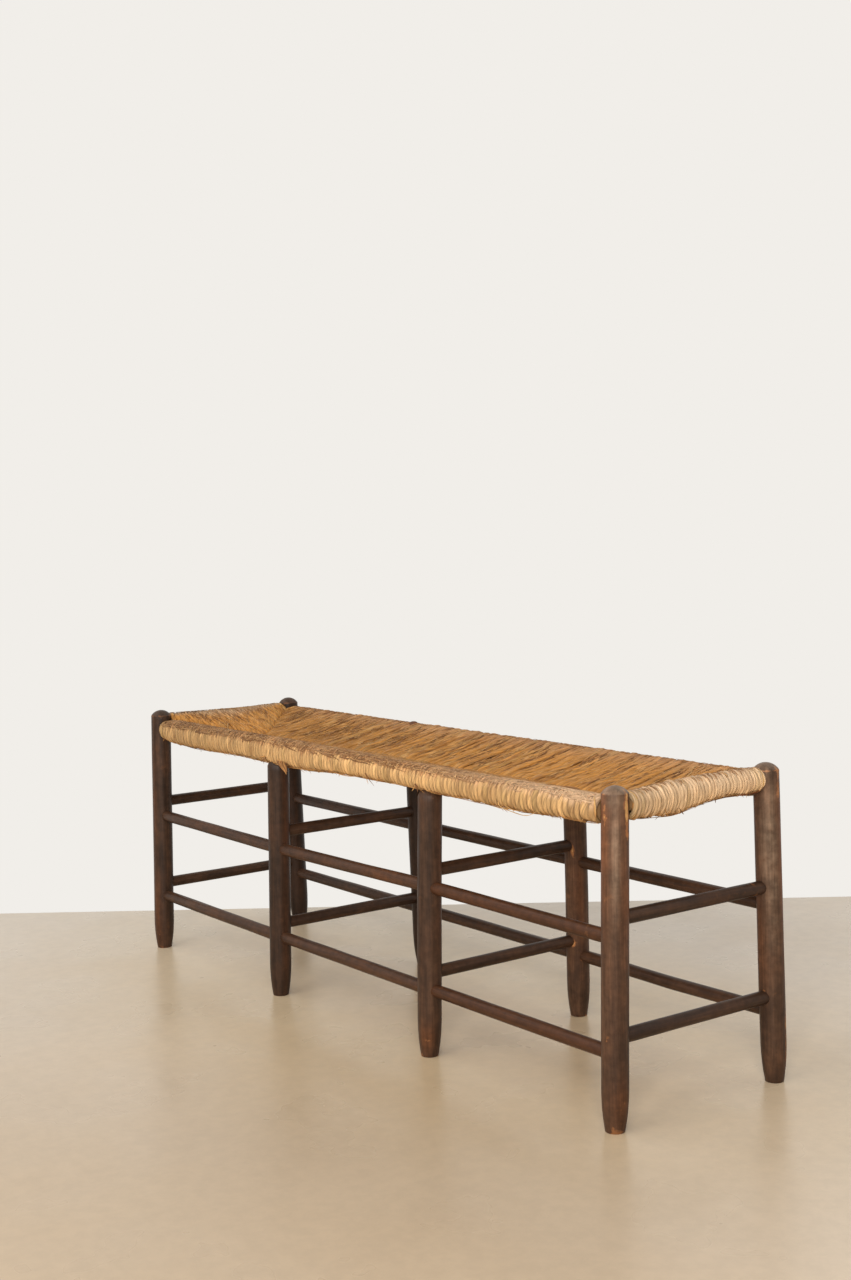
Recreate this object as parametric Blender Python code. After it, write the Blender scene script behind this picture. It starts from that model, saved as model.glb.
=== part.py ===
"""A long bench with a rush seat, built the way a chair turner builds one.

Eight round legs stand in four pairs. Two tiers of plain round stretchers run
into blind mortises in them, the cross stretchers just above the long ones.
Two long seat rails rest on tenons of the middle legs, two end rails sit a
little higher, and one winding of rush cord covers all four over packed
pockets, meeting in four mitres and a long seam.

X runs along the bench, Y from its front to its back, Z up from the floor.
All sizes are in metres.
"""
import math
from collections import namedtuple

import bmesh
import bpy
from mathutils import Vector

# Frame
LEG_HEIGHT = 0.453
LEG_DIAMETER = 0.0365
LEGS_APART_LENGTHWISE = 1.2626
LEGS_APART_AT_THE_TOP = 0.2814
LEAN = 0.0105
MIDDLE_LEG_SHARES = (0.338, 0.6762)

# Leg ends
DOME_HEIGHT = 0.010
MIDDLE_DOME_HEIGHT = 0.013
FOOT_DIAMETER = 0.0262
FOOT_TAPER_LENGTH = 0.055
FOOT_SWELL = 0.0012

# Stretchers
STRETCHER_DIAMETER = 0.0195
STRETCHER_DEPTH_IN_LEG = 0.015
STRETCHER_END_CHAMFER = 0.0015
LOWER_LONG_HEIGHT = 0.1005
UPPER_LONG_HEIGHT = 0.2530
WOOD_BETWEEN_LOWER_MORTISES = 0.003
WOOD_BETWEEN_UPPER_MORTISES = 0.0066

# Seat rails
LONG_RAIL_DIAMETER = 0.028
END_RAIL_DIAMETER = 0.0268
LONG_RAIL_BELOW_LEG_TOP = 0.035
END_RAIL_ABOVE_LONG_RAIL = 0.012
RAIL_TENON_DIAMETER = 0.014
MIDDLE_TENON_DIAMETER = 0.015
PROUD_TENON_RISE = 0.003

# Rush seat
RUSH_THICKNESS = 0.0062
SEAM_BELOW_ROLL = 0.031
SEAM_THICKNESS = 0.021
DISH_CURVE = 1.25
PINCH_CURVE = 4
CORNER_SETBACK = 0.016
RIB_PITCH = 0.0205
RIB_DEPTH = 0.0015
CREASE_WIDTH = 0.005
CREASE_DEPTH = 0.0025
MITRE_BLEND = 0.012
MITRE_WEB = 0.014
SEAM_WEB = 0.008
PACKING_TIP = 0.006

# Fits and faceting
GAP = 0.0003
OVERRUN = 0.010
LEG_SIDES = 16
RAIL_SIDES = 16
STRETCHER_SIDES = 12
DOME_RINGS = 3
FOOT_RINGS = 3
ROLL_SIDES = 4
TOP_FIELD_SHARES = (1.0, 0.62, 0.28)
BOTTOM_FIELD_SHARES = (0.3,)
PACKING_SHARES = (0.0, 0.3, 0.65, 1.0)
SMOOTH_BELOW_DEGREES = 35

# Values worked out from the sizes above
LEG_RADIUS = LEG_DIAMETER / 2
HALF_LENGTH = LEGS_APART_LENGTHWISE / 2
STRETCHER_RADIUS = STRETCHER_DIAMETER / 2
LONG_RAIL_Z = LEG_HEIGHT - LONG_RAIL_BELOW_LEG_TOP
END_RAIL_Z = LONG_RAIL_Z + END_RAIL_ABOVE_LONG_RAIL
RAIL_TENON_RADIUS = RAIL_TENON_DIAMETER / 2
RAIL_TENON_DEPTH = LEG_RADIUS - RAIL_TENON_RADIUS - GAP
MIDDLE_TENON_RADIUS = MIDDLE_TENON_DIAMETER / 2
LONG_ROLL_TOP = LONG_RAIL_Z + LONG_RAIL_DIAMETER / 2 + RUSH_THICKNESS
SEAM_TOP = LONG_ROLL_TOP - SEAM_BELOW_ROLL
SEAT_UNDERSIDE = SEAM_TOP - SEAM_THICKNESS

FRONT = -1
BACK = 1
LEFT = -1
RIGHT = 1

Side = namedtuple("Side", "name sign lengthwise rail_z rail_radius")


def reach(height):
    """Distance from the bench's middle plane to the axis of a leg at a height."""
    return LEGS_APART_AT_THE_TOP / 2 + LEAN * (1 - height / LEG_HEIGHT)


HALF_DEPTH = reach(LONG_RAIL_Z)


def leg_places():
    """The four places along the bench where a pair of legs stands."""
    middle = [LEGS_APART_LENGTHWISE * share - HALF_LENGTH for share in MIDDLE_LEG_SHARES]
    return [-HALF_LENGTH, *middle, HALF_LENGTH]


def is_proud(x, row):
    """One back leg, the first in from the left, has a tenon that rises through the rush."""
    return row == BACK and x == leg_places()[1]


def clear_scene():
    for old in list(bpy.data.objects):
        bpy.data.objects.remove(old, do_unlink=True)


def make_material(name, colour, roughness):
    material = bpy.data.materials.new(name)
    material.use_nodes = True
    surface = material.node_tree.nodes["Principled BSDF"]
    surface.inputs["Base Color"].default_value = (*colour, 1.0)
    surface.inputs["Roughness"].default_value = roughness
    surface.inputs["Metallic"].default_value = 0.0
    return material


def circle(centre, radius, axis, sides):
    """Points around a centre, in the plane square to the named axis."""
    points = []
    for step in range(sides):
        turn = math.tau * step / sides
        across = radius * math.cos(turn)
        up = radius * math.sin(turn)
        offset = {"X": (0, across, up), "Y": (up, 0, across), "Z": (across, up, 0)}[axis]
        points.append(Vector(centre) + Vector(offset))
    return points


def add_loft(bm, rings):
    """Join rings of equal length into one closed body with flat end caps."""
    loops = [[bm.verts.new(point) for point in ring] for ring in rings]
    count = len(loops[0])
    for near, far in zip(loops, loops[1:]):
        for step in range(count):
            following = (step + 1) % count
            bm.faces.new((near[step], near[following], far[following], far[step]))
    bm.faces.new(list(reversed(loops[0])))
    bm.faces.new(loops[-1])


def add_object(name, bm, origin, material, parent):
    """Close a mesh into a named object whose own origin is the given point."""
    bmesh.ops.triangulate(bm, faces=[face for face in bm.faces if len(face.verts) > 4])
    bmesh.ops.recalc_face_normals(bm, faces=bm.faces)
    bmesh.ops.translate(bm, verts=bm.verts, vec=-Vector(origin))
    mesh = bpy.data.meshes.new(name)
    bm.to_mesh(mesh)
    bm.free()
    mesh.shade_smooth()
    mesh.set_sharp_from_angle(angle=math.radians(SMOOTH_BELOW_DEGREES))
    thing = bpy.data.objects.new(name, mesh)
    bpy.context.collection.objects.link(thing)
    thing.location = origin
    thing.parent = parent
    if material:
        mesh.materials.append(material)
    return thing


def add_cut(thing, name, bm, parent):
    """Cut a body away from a thing with a hidden guide object."""
    cutter = add_object(name, bm, (0, 0, 0), None, parent)
    cutter.hide_render = True
    cutter.display_type = "WIRE"
    cut = thing.modifiers.new(name, "BOOLEAN")
    cut.operation = "DIFFERENCE"
    cut.solver = "EXACT"
    cut.object = cutter


def leaning_circle(x, row, height, radius):
    """A level ring of a leg, on the leg's leaning axis."""
    return circle((x, row * reach(height), height), radius, "Z", LEG_SIDES)


def foot_profile():
    """Radius and height up the tapered foot, which swells a little on its way."""
    profile = []
    for step in range(FOOT_RINGS + 1):
        share = step / FOOT_RINGS
        taper = FOOT_DIAMETER / 2 + (LEG_RADIUS - FOOT_DIAMETER / 2) * share
        swell = FOOT_SWELL * math.sin(math.pi * share)
        profile.append((taper + swell, FOOT_TAPER_LENGTH * share))
    return profile


def dome_drop(radius, dome_height):
    """How far a dome's surface lies below its crown at a radius."""
    ball = (LEG_RADIUS ** 2 + dome_height ** 2) / (2 * dome_height)
    return ball - math.sqrt(ball ** 2 - radius ** 2)


def dome_profile(crown, dome_height, tip_radius):
    """Radius and height over the dome, from its crisp edge to a tip radius."""
    profile = []
    for step in range(DOME_RINGS + 1):
        radius = LEG_RADIUS + (tip_radius - LEG_RADIUS) * step / DOME_RINGS
        profile.append((radius, crown - dome_drop(radius, dome_height)))
    return profile


def corner_leg_profile():
    """A corner leg ends in a low dome with a small flat at its very top."""
    flat_radius = LEG_RADIUS / (DOME_RINGS + 1)
    crown = LEG_HEIGHT + dome_drop(flat_radius, DOME_HEIGHT)
    return foot_profile() + dome_profile(crown, DOME_HEIGHT, flat_radius)


def middle_leg_profile(tenon_top):
    """A middle leg stops under its long rail and sends a tenon up through it."""
    rail_underside = LONG_RAIL_Z - LONG_RAIL_DIAMETER / 2
    crown = rail_underside - GAP + dome_drop(MIDDLE_TENON_RADIUS, MIDDLE_DOME_HEIGHT)
    profile = foot_profile() + dome_profile(crown, MIDDLE_DOME_HEIGHT, MIDDLE_TENON_RADIUS)
    return profile + [(MIDDLE_TENON_RADIUS, tenon_top)]


def flush_tenon_top():
    """Height at which a tenon comes out level with the sides of the round rail."""
    rail_radius = LONG_RAIL_DIAMETER / 2
    return LONG_RAIL_Z + math.sqrt(rail_radius ** 2 - MIDDLE_TENON_RADIUS ** 2) - GAP


def stretcher_levels(lengthwise):
    """Centre heights of the lower and the upper tier of stretchers."""
    if lengthwise:
        return {"lower": LOWER_LONG_HEIGHT, "upper": UPPER_LONG_HEIGHT}
    lower = LOWER_LONG_HEIGHT + STRETCHER_DIAMETER + WOOD_BETWEEN_LOWER_MORTISES
    upper = UPPER_LONG_HEIGHT + STRETCHER_DIAMETER + WOOD_BETWEEN_UPPER_MORTISES
    return {"lower": lower, "upper": upper}


def add_mortise(bm, leg_axis, axis, direction, radius, depth, sides):
    """A blind hole for a round tenon, from inside a leg to past its surface."""
    step = Vector((direction, 0, 0)) if axis == "X" else Vector((0, direction, 0))
    inner = Vector(leg_axis) + step * (LEG_RADIUS - depth - GAP)
    outer = Vector(leg_axis) + step * (LEG_RADIUS + OVERRUN)
    add_loft(bm, [circle(end, radius + GAP, axis, sides) for end in (inner, outer)])


def cut_mortises(leg, x, row, parent):
    """Cut one leg's holes for the stretchers and, at a corner, for the seat rails."""
    bm = bmesh.new()
    at_left_end = x == -HALF_LENGTH
    at_right_end = x == HALF_LENGTH
    lengthwise_directions = ([] if at_left_end else [LEFT]) + ([] if at_right_end else [RIGHT])
    for z in stretcher_levels(True).values():
        for direction in lengthwise_directions:
            add_mortise(bm, (x, row * reach(z), z), "X", direction, STRETCHER_RADIUS,
                        STRETCHER_DEPTH_IN_LEG, STRETCHER_SIDES)
    for z in stretcher_levels(False).values():
        add_mortise(bm, (x, row * reach(z), z), "Y", -row, STRETCHER_RADIUS,
                    STRETCHER_DEPTH_IN_LEG, STRETCHER_SIDES)
    add_cut(leg, leg.name + "_mortises", bm, parent)
    if at_left_end or at_right_end:
        bm = bmesh.new()
        add_mortise(bm, (x, row * HALF_DEPTH, LONG_RAIL_Z), "X", lengthwise_directions[0],
                    RAIL_TENON_RADIUS, RAIL_TENON_DEPTH, RAIL_SIDES)
        add_mortise(bm, (x, row * reach(END_RAIL_Z), END_RAIL_Z), "Y", -row,
                    RAIL_TENON_RADIUS, RAIL_TENON_DEPTH, RAIL_SIDES)
        add_cut(leg, leg.name + "_rail_mortises", bm, parent)


def build_leg(name, x, row, profile, wood, parent):
    bm = bmesh.new()
    add_loft(bm, [leaning_circle(x, row, height, radius) for radius, height in profile])
    leg = add_object(name, bm, (x, row * reach(0), 0), wood, parent)
    cut_mortises(leg, x, row, parent)


def build_legs(wood, parent):
    places = dict(zip(("left", "inner_left", "inner_right", "right"), leg_places()))
    for row_name, row in (("front", FRONT), ("back", BACK)):
        for place_name, x in places.items():
            if abs(x) == HALF_LENGTH:
                profile = corner_leg_profile()
            elif is_proud(x, row):
                profile = middle_leg_profile(LONG_ROLL_TOP + PROUD_TENON_RISE)
            else:
                profile = middle_leg_profile(flush_tenon_top())
            build_leg(f"{row_name}_{place_name}_leg", x, row, profile, wood, parent)


def build_stretcher(name, start, end, axis, wood, parent):
    """A plain round rod between two leg axes, its chamfered ends deep in the legs."""
    start = Vector(start)
    end = Vector(end)
    along = (end - start).normalized()
    inset = LEG_RADIUS - STRETCHER_DEPTH_IN_LEG
    chamfered = STRETCHER_RADIUS - STRETCHER_END_CHAMFER
    stops = [(start + along * inset, chamfered),
             (start + along * (inset + STRETCHER_END_CHAMFER), STRETCHER_RADIUS),
             (end - along * (inset + STRETCHER_END_CHAMFER), STRETCHER_RADIUS),
             (end - along * inset, chamfered)]
    bm = bmesh.new()
    add_loft(bm, [circle(centre, radius, axis, STRETCHER_SIDES) for centre, radius in stops])
    add_object(name, bm, (start + end) / 2, wood, parent)


def build_stretchers(wood, parent):
    places = leg_places()
    bays = list(zip(("left", "middle", "right"), places, places[1:]))
    for level, z in stretcher_levels(True).items():
        for row_name, row in (("front", FRONT), ("back", BACK)):
            for bay_name, start_x, end_x in bays:
                y = row * reach(z)
                build_stretcher(f"{row_name}_{bay_name}_{level}_stretcher",
                                (start_x, y, z), (end_x, y, z), "X", wood, parent)
    cross_names = ("left_end", "inner_left_cross", "inner_right_cross", "right_end")
    for level, z in stretcher_levels(False).items():
        for cross_name, x in zip(cross_names, places):
            build_stretcher(f"{cross_name}_{level}_stretcher",
                            (x, -reach(z), z), (x, reach(z), z), "Y", wood, parent)


def side_point(side, along, inward, z):
    """World place of a point by its run along a rail and its distance in from it."""
    if side.lengthwise:
        return Vector((along, side.sign * (HALF_DEPTH - inward), z))
    return Vector((side.sign * (HALF_LENGTH - inward), along, z))


def half_run(side, inward):
    """Half the length of a side's field at a distance in from its rail."""
    return (HALF_LENGTH if side.lengthwise else HALF_DEPTH) - inward


def seat_sides():
    long_radius = LONG_RAIL_DIAMETER / 2
    end_radius = END_RAIL_DIAMETER / 2
    return [Side("front", FRONT, True, LONG_RAIL_Z, long_radius),
            Side("back", BACK, True, LONG_RAIL_Z, long_radius),
            Side("left", LEFT, False, END_RAIL_Z, end_radius),
            Side("right", RIGHT, False, END_RAIL_Z, end_radius)]


def build_rail(side, wood, parent):
    """A round seat rail with a shouldered tenon at each end."""
    shoulder = half_run(side, LEG_RADIUS + GAP)
    tip = half_run(side, LEG_RADIUS - RAIL_TENON_DEPTH)
    if not side.lengthwise:
        shoulder += reach(END_RAIL_Z) - HALF_DEPTH
        tip += reach(END_RAIL_Z) - HALF_DEPTH
    stops = [(-tip, RAIL_TENON_RADIUS), (-shoulder, RAIL_TENON_RADIUS), (-shoulder, side.rail_radius),
             (shoulder, side.rail_radius), (shoulder, RAIL_TENON_RADIUS), (tip, RAIL_TENON_RADIUS)]
    axis = "X" if side.lengthwise else "Y"
    bm = bmesh.new()
    add_loft(bm, [circle(side_point(side, along, 0, side.rail_z), radius, axis, RAIL_SIDES)
                  for along, radius in stops])
    rail = add_object(side.name + "_seat_rail", bm, side_point(side, 0, 0, side.rail_z), wood, parent)
    if side.lengthwise:
        bm = bmesh.new()
        for x in leg_places()[1:-1]:
            heights = (LONG_RAIL_Z - side.rail_radius - OVERRUN, LONG_RAIL_Z + side.rail_radius + OVERRUN)
            add_loft(bm, [leaning_circle(x, side.sign, z, MIDDLE_TENON_RADIUS + GAP) for z in heights])
        add_cut(rail, rail.name + "_tenon_holes", bm, parent)


def field_value(point, long_edge, end_edge, seam, curve):
    """A height or thickness of the seat over a point between the rails.

    It runs from its value at the nearer rail to its value at the seam, and near a
    mitre it blends what the long and the end rail would give.
    """
    from_long = HALF_DEPTH - abs(point.y)
    from_end = HALF_LENGTH - abs(point.x)
    share = min(from_long, from_end) / HALF_DEPTH
    weight = (from_long - from_end) / (2 * MITRE_BLEND) + 1 / 2
    weight = min(max(weight, 0), 1)
    edge = long_edge + (end_edge - long_edge) * weight
    return seam + (edge - seam) * max(1 - share, 0) ** curve


def top_height(point):
    """The dished top runs down from the crests of the rolls to the seam."""
    end_roll_top = END_RAIL_Z + END_RAIL_DIAMETER / 2 + RUSH_THICKNESS
    return field_value(point, LONG_ROLL_TOP, end_roll_top, SEAM_TOP, DISH_CURVE)


def bottom_height(point):
    """The underside closes in on the top just inside the rolls, then follows it down."""
    long_roll = LONG_RAIL_DIAMETER + 2 * RUSH_THICKNESS
    end_roll = END_RAIL_DIAMETER + 2 * RUSH_THICKNESS
    return top_height(point) - field_value(point, long_roll, end_roll, SEAM_THICKNESS, PINCH_CURVE)


def rush_section(side, along, furrow):
    """Points of the rush round one rail, from the seam over the roll and back below."""
    inner = min(HALF_DEPTH, (HALF_LENGTH if side.lengthwise else HALF_DEPTH) - abs(along))
    points = []

    def add(inward, height_at, offset):
        point = side_point(side, along, inward, 0)
        point.z = height_at(point) + offset
        points.append(point)

    add(inner, top_height, -furrow - CREASE_DEPTH)
    for share in TOP_FIELD_SHARES:
        add((inner - CREASE_WIDTH) * share, top_height, -furrow)
    roll_radius = side.rail_radius + RUSH_THICKNESS - furrow
    for step in range(ROLL_SIDES + 1):
        turn = math.pi / 2 - math.pi * step / ROLL_SIDES
        points.append(side_point(side, along, -roll_radius * math.cos(turn),
                                 side.rail_z + roll_radius * math.sin(turn)))
    for share in BOTTOM_FIELD_SHARES:
        add(inner * share, bottom_height, furrow)
    add(inner, bottom_height, furrow)
    return points


def mitre_stops():
    """Distances from a corner of the ribs and furrows that end in a mitre."""
    span = HALF_DEPTH - CORNER_SETBACK
    count = 2 * round(span / RIB_PITCH)
    return [CORNER_SETBACK + span * step / count for step in range(count + 1)]


def side_stops(side):
    """Places along a side, each on a rib or in a furrow, and the furrow's depth there."""
    ends = [half_run(side, stop) for stop in mitre_stops()]
    places = [-end for end in ends]
    if side.lengthwise:
        span = 2 * ends[-1]
        count = 2 * round(span / RIB_PITCH)
        places += [span * step / count - ends[-1] for step in range(1, count)]
        places += list(reversed(ends))
    else:
        places += list(reversed(ends))[1:]
    return [(along, 0 if step % 2 else RIB_DEPTH) for step, along in enumerate(places)]


def add_rush_skin(bm):
    """The outer skin of the winding: four ribbed fields that share mitres and seam."""
    for side in seat_sides():
        sections = []
        for along, furrow in side_stops(side):
            sections.append([bm.verts.new(point) for point in rush_section(side, along, furrow)])
        for near, far in zip(sections, sections[1:]):
            for step in range(len(near) - 1):
                bm.faces.new((near[step], near[step + 1], far[step + 1], far[step]))
        bm.faces.new(sections[0])
        bm.faces.new(list(reversed(sections[-1])))
    bmesh.ops.remove_doubles(bm, verts=bm.verts, dist=GAP / 10)
    bmesh.ops.dissolve_degenerate(bm, edges=bm.edges, dist=GAP / 10)


def pocket_rings(side, shrink):
    """Sections of the wedge between the two layers of rush, from beside a rail inwards."""
    start = side.rail_radius + GAP + shrink
    stop = HALF_DEPTH - (SEAM_WEB / 2 if side.lengthwise else MITRE_WEB + PACKING_TIP) - shrink
    rings = []
    for share in PACKING_SHARES:
        inward = start + (stop - start) * share
        reach_along = half_run(side, inward) - MITRE_WEB - 2 * shrink
        near, far = [side_point(side, along, inward, 0) for along in (-reach_along, reach_along)]
        top = top_height(near) - RUSH_THICKNESS - shrink
        bottom = bottom_height(near) + RUSH_THICKNESS + shrink
        rings.append([Vector((near.x, near.y, bottom)), Vector((far.x, far.y, bottom)),
                      Vector((far.x, far.y, top)), Vector((near.x, near.y, top))])
    return rings


def build_packing(side, rush, parent):
    """Dry rush stuffed between the two layers, up against the rail."""
    bm = bmesh.new()
    add_loft(bm, pocket_rings(side, GAP))
    add_object(side.name + "_rush_packing", bm, side_point(side, 0, 0, side.rail_z), rush, parent)


def cut_rail_tunnels(seat, parent):
    bm = bmesh.new()
    for side in seat_sides():
        end = half_run(side, 0)
        axis = "X" if side.lengthwise else "Y"
        add_loft(bm, [circle(side_point(side, along, 0, side.rail_z), side.rail_radius + GAP, axis,
                             RAIL_SIDES) for along in (-end, end)])
    add_cut(seat, "rush_seat_rail_tunnels", bm, parent)


def cut_pockets(seat, parent):
    """Empty the wedges for their packing, each opening into its rail's tunnel."""
    bm = bmesh.new()
    for side in seat_sides():
        rings = pocket_rings(side, 0)
        into_tunnel = side_point(side, 0, 0, 0) - side_point(side, 0, side.rail_radius, 0)
        add_loft(bm, [[point + into_tunnel for point in rings[0]]] + rings)
    add_cut(seat, "rush_seat_pockets", bm, parent)


def cut_leg_clearances(seat, parent):
    """Room for the corner posts and for the domed tops of the middle legs."""
    bm = bmesh.new()
    below = SEAT_UNDERSIDE - OVERRUN
    rail_underside = LONG_RAIL_Z - LONG_RAIL_DIAMETER / 2
    for row in (FRONT, BACK):
        for x in leg_places():
            top = LEG_HEIGHT + OVERRUN if abs(x) == HALF_LENGTH else rail_underside
            add_loft(bm, [leaning_circle(x, row, z, LEG_RADIUS + GAP) for z in (below, top)])
    add_cut(seat, "rush_seat_leg_clearances", bm, parent)


def cut_tenon_clearances(seat, parent):
    """Room for the tenons of the middle legs, one of which stands proud of the rush."""
    bm = bmesh.new()
    below = SEAT_UNDERSIDE - OVERRUN
    for row in (FRONT, BACK):
        for x in leg_places()[1:-1]:
            top = LEG_HEIGHT + OVERRUN if is_proud(x, row) else LONG_RAIL_Z
            add_loft(bm, [leaning_circle(x, row, z, MIDDLE_TENON_RADIUS + GAP) for z in (below, top)])
    add_cut(seat, "rush_seat_tenon_clearances", bm, parent)


def build_rush_seat(rush, parent):
    bm = bmesh.new()
    add_rush_skin(bm)
    seat = add_object("rush_seat", bm, (0, 0, SEAM_TOP), rush, parent)
    cut_rail_tunnels(seat, parent)
    cut_pockets(seat, parent)
    cut_leg_clearances(seat, parent)
    cut_tenon_clearances(seat, parent)


def build_bench():
    clear_scene()
    bench = bpy.data.objects.new("bench", None)
    bpy.context.collection.objects.link(bench)
    dark_wood = make_material("dark stained wood", (0.065, 0.033, 0.021), 0.42)
    seat_rush = make_material("twisted rush", (0.47, 0.26, 0.10), 0.72)
    loose_rush = make_material("loose dry rush", (0.38, 0.25, 0.11), 0.85)
    build_legs(dark_wood, bench)
    build_stretchers(dark_wood, bench)
    for side in seat_sides():
        build_rail(side, dark_wood, bench)
        build_packing(side, loose_rush, bench)
    build_rush_seat(seat_rush, bench)


build_bench()
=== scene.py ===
# %% [markdown]
# # A rush bench
#
# The bench is long and low: round turned legs in pairs, plain round stretchers between
# them, and a seat of rush cord wound over four hidden rails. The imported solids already
# give every piece its size and place, so this lesson is about looks: wood that has been
# rubbed for a century, and a seat in which every turn of cord can be counted.

import math

import bpy
import numpy as np
from mathutils import Matrix, Vector, noise


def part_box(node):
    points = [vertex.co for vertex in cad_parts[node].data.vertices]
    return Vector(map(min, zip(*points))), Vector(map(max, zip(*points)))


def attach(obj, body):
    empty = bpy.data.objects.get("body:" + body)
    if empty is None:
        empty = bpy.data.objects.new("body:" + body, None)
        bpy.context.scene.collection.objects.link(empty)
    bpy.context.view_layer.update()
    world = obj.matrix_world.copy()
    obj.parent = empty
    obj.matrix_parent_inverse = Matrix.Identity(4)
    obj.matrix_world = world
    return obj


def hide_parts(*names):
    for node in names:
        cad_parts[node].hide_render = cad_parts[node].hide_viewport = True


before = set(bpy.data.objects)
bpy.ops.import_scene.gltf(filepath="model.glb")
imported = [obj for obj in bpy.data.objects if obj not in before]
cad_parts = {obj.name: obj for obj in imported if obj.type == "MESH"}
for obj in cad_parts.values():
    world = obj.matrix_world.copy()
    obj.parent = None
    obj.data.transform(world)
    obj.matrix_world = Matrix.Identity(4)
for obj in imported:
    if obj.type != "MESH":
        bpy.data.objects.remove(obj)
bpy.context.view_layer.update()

# %% [markdown]
# ## Camera
#
# The photographer stood off the right end, a little above the seat, and held the camera
# nearly level and upright. A pinhole camera is one focal length, one place and three
# turns. Blender counts focal length in millimetres on a sensor whose longer side is 36,
# so a focal length in pixels is scaled by 36 over the picture's height.

# %% Camera
PHOTO_HEIGHT = 1280
FOCAL_LENGTH_IN_PIXELS = 1679.85
SENSOR = 36
CAMERA_PLACE = (2.2219, -1.5922, 0.8031)
CAMERA_TURN = 0.94207
CAMERA_DIP = 0.07286
CAMERA_TILT = -0.02641

camera_data = bpy.data.cameras.new("camera")
camera_data.sensor_width = SENSOR
camera_data.lens = FOCAL_LENGTH_IN_PIXELS * SENSOR / PHOTO_HEIGHT
camera = bpy.data.objects.new("camera", camera_data)
bpy.context.collection.objects.link(camera)
camera.matrix_world = (Matrix.Translation(CAMERA_PLACE) @ Matrix.Rotation(CAMERA_TURN, 4, "Z")
                       @ Matrix.Rotation(math.pi / 2 - CAMERA_DIP, 4, "X")
                       @ Matrix.Rotation(CAMERA_TILT, 4, "Z"))
bpy.context.scene.camera = camera
bpy.context.scene.view_settings.view_transform = "Standard"
print("lens:", round(camera_data.lens, 2), "mm")

# %% [markdown]
# ## Colours and a few small helpers
#
# Colours are easiest to think of as they look on a screen, from 0 to 255. Shaders want
# them as amounts of light, so a helper converts them. A small class saves typing in node
# trees: it adds a node, sets or links its sockets, and has one short call for each kind of
# node that the finishes use most.

# %% Helpers for colours and nodes
def seen(red, green, blue):
    """A colour as it looks on a screen, turned into amounts of light."""
    return tuple(((value / 255 + 0.055) / 1.055) ** 2.4 for value in (red, green, blue))


def opaque(colour):
    return (*colour, 1.0)


def deselect():
    """Nothing stays selected, so that the next operator acts only on what it adds."""
    if bpy.context.object and bpy.context.object.mode != "OBJECT":
        bpy.ops.object.mode_set(mode="OBJECT")
    bpy.ops.object.select_all(action="DESELECT")


class Finish:
    """A new material with short calls for adding and linking its nodes."""

    def __init__(self, name):
        self.material = bpy.data.materials.new(name)
        self.material.use_nodes = True
        self.tree = self.material.node_tree
        self.surface = self.tree.nodes["Principled BSDF"]

    def add(self, kind, inputs=None, **settings):
        node = self.tree.nodes.new("ShaderNode" + kind)
        for key, value in settings.items():
            setattr(node, key, value)
        for key, value in (inputs or {}).items():
            self.feed(node, key, value)
        return node

    def feed(self, node, key, value):
        """Set a socket to a value, or link it when the value is another socket."""
        if isinstance(value, bpy.types.NodeSocket):
            self.tree.links.new(value, node.inputs[key])
        else:
            node.inputs[key].default_value = value

    def noise(self, vector, scale, detail=3.0, roughness=0.55, w=0.0):
        inputs = {"Vector": vector, "Scale": scale, "Detail": detail, "Roughness": roughness, "W": w}
        return self.add("TexNoise", inputs, noise_dimensions="4D").outputs["Fac"]

    def span(self, value, low, high, to_low=0.0, to_high=1.0):
        """Stretch a value from one span to another, clamped."""
        inputs = {"Value": value, "From Min": low, "From Max": high, "To Min": to_low, "To Max": to_high}
        return self.add("MapRange", inputs, interpolation_type="SMOOTHSTEP").outputs["Result"]

    def stretched(self, vector, scale):
        """Places for a pattern that is finer or longer along each axis."""
        return self.add("Mapping", {"Vector": vector, "Scale": scale}).outputs["Vector"]

    def blend(self, share, first, second, mode="MIX"):
        inputs = {0: share, 6: first, 7: second}
        return self.add("Mix", inputs, data_type="RGBA", blend_type=mode).outputs[2]

    def shade(self, colour, amount):
        """The colour, made lighter or darker by an amount."""
        return self.blend(1.0, colour, amount, "MULTIPLY")

    def sum(self, first, second, operation="ADD"):
        return self.add("Math", {0: first, 1: second}, operation=operation).outputs[0]

    def times(self, first, second):
        return self.sum(first, second, "MULTIPLY")

    def attribute(self, name, output="Fac"):
        return self.add("Attribute", attribute_name=name).outputs[output]

    def bump(self, height, distance, strength):
        node = self.add("Bump", {"Height": height, "Distance": distance, "Strength": strength})
        self.feed(self.surface, "Normal", node.outputs["Normal"])


print("a mid brown in light:", [round(v, 3) for v in seen(128, 96, 64)])

# %% [markdown]
# ## Floor and light
#
# A plain pale floor ends in a straight line behind the bench, with near white beyond it
# and all round. Its paint is lighter toward the back and the right, as painted light, and a
# little warmer under the bench, as the colour of a painted shadow. One large soft lamp
# stands to the front and a second nearer the camera. Two weaker ones hang high up, one on
# each side of the bench. The world gives the rest. What the camera and clear reflections
# see of the world is near white, and what lights the bench is dimmer: a Light Path node
# tells the two apart.

# %% Floor
FLOOR_SIZE = 24
NEAR_TONE = seen(199, 177, 148)
FAR_TONE = seen(232, 217, 196)
RIGHT_TONE = seen(248, 231, 208)
# Directions over the floor: away from the camera, and to its right.
AWAY = (-0.81, 0.59, 0.0)
RIGHTWARD = (0.59, 0.81, 0.0)
# Under the bench the floor is painted a little warmer, as the colour of its shadow, in an ellipse that is
# shorter in depth.
UNDER_BENCH_SHADOW = (1.03, 0.975, 0.84)
ELLIPSE = (1.0, 1.8, 0.0)
ELLIPSE_FADE = (0.45, 1.15)
FAR_EDGE_POINT = Vector((-0.571, 0.418, 0))
FAR_EDGE_TURN = math.radians(52.4)

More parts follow.
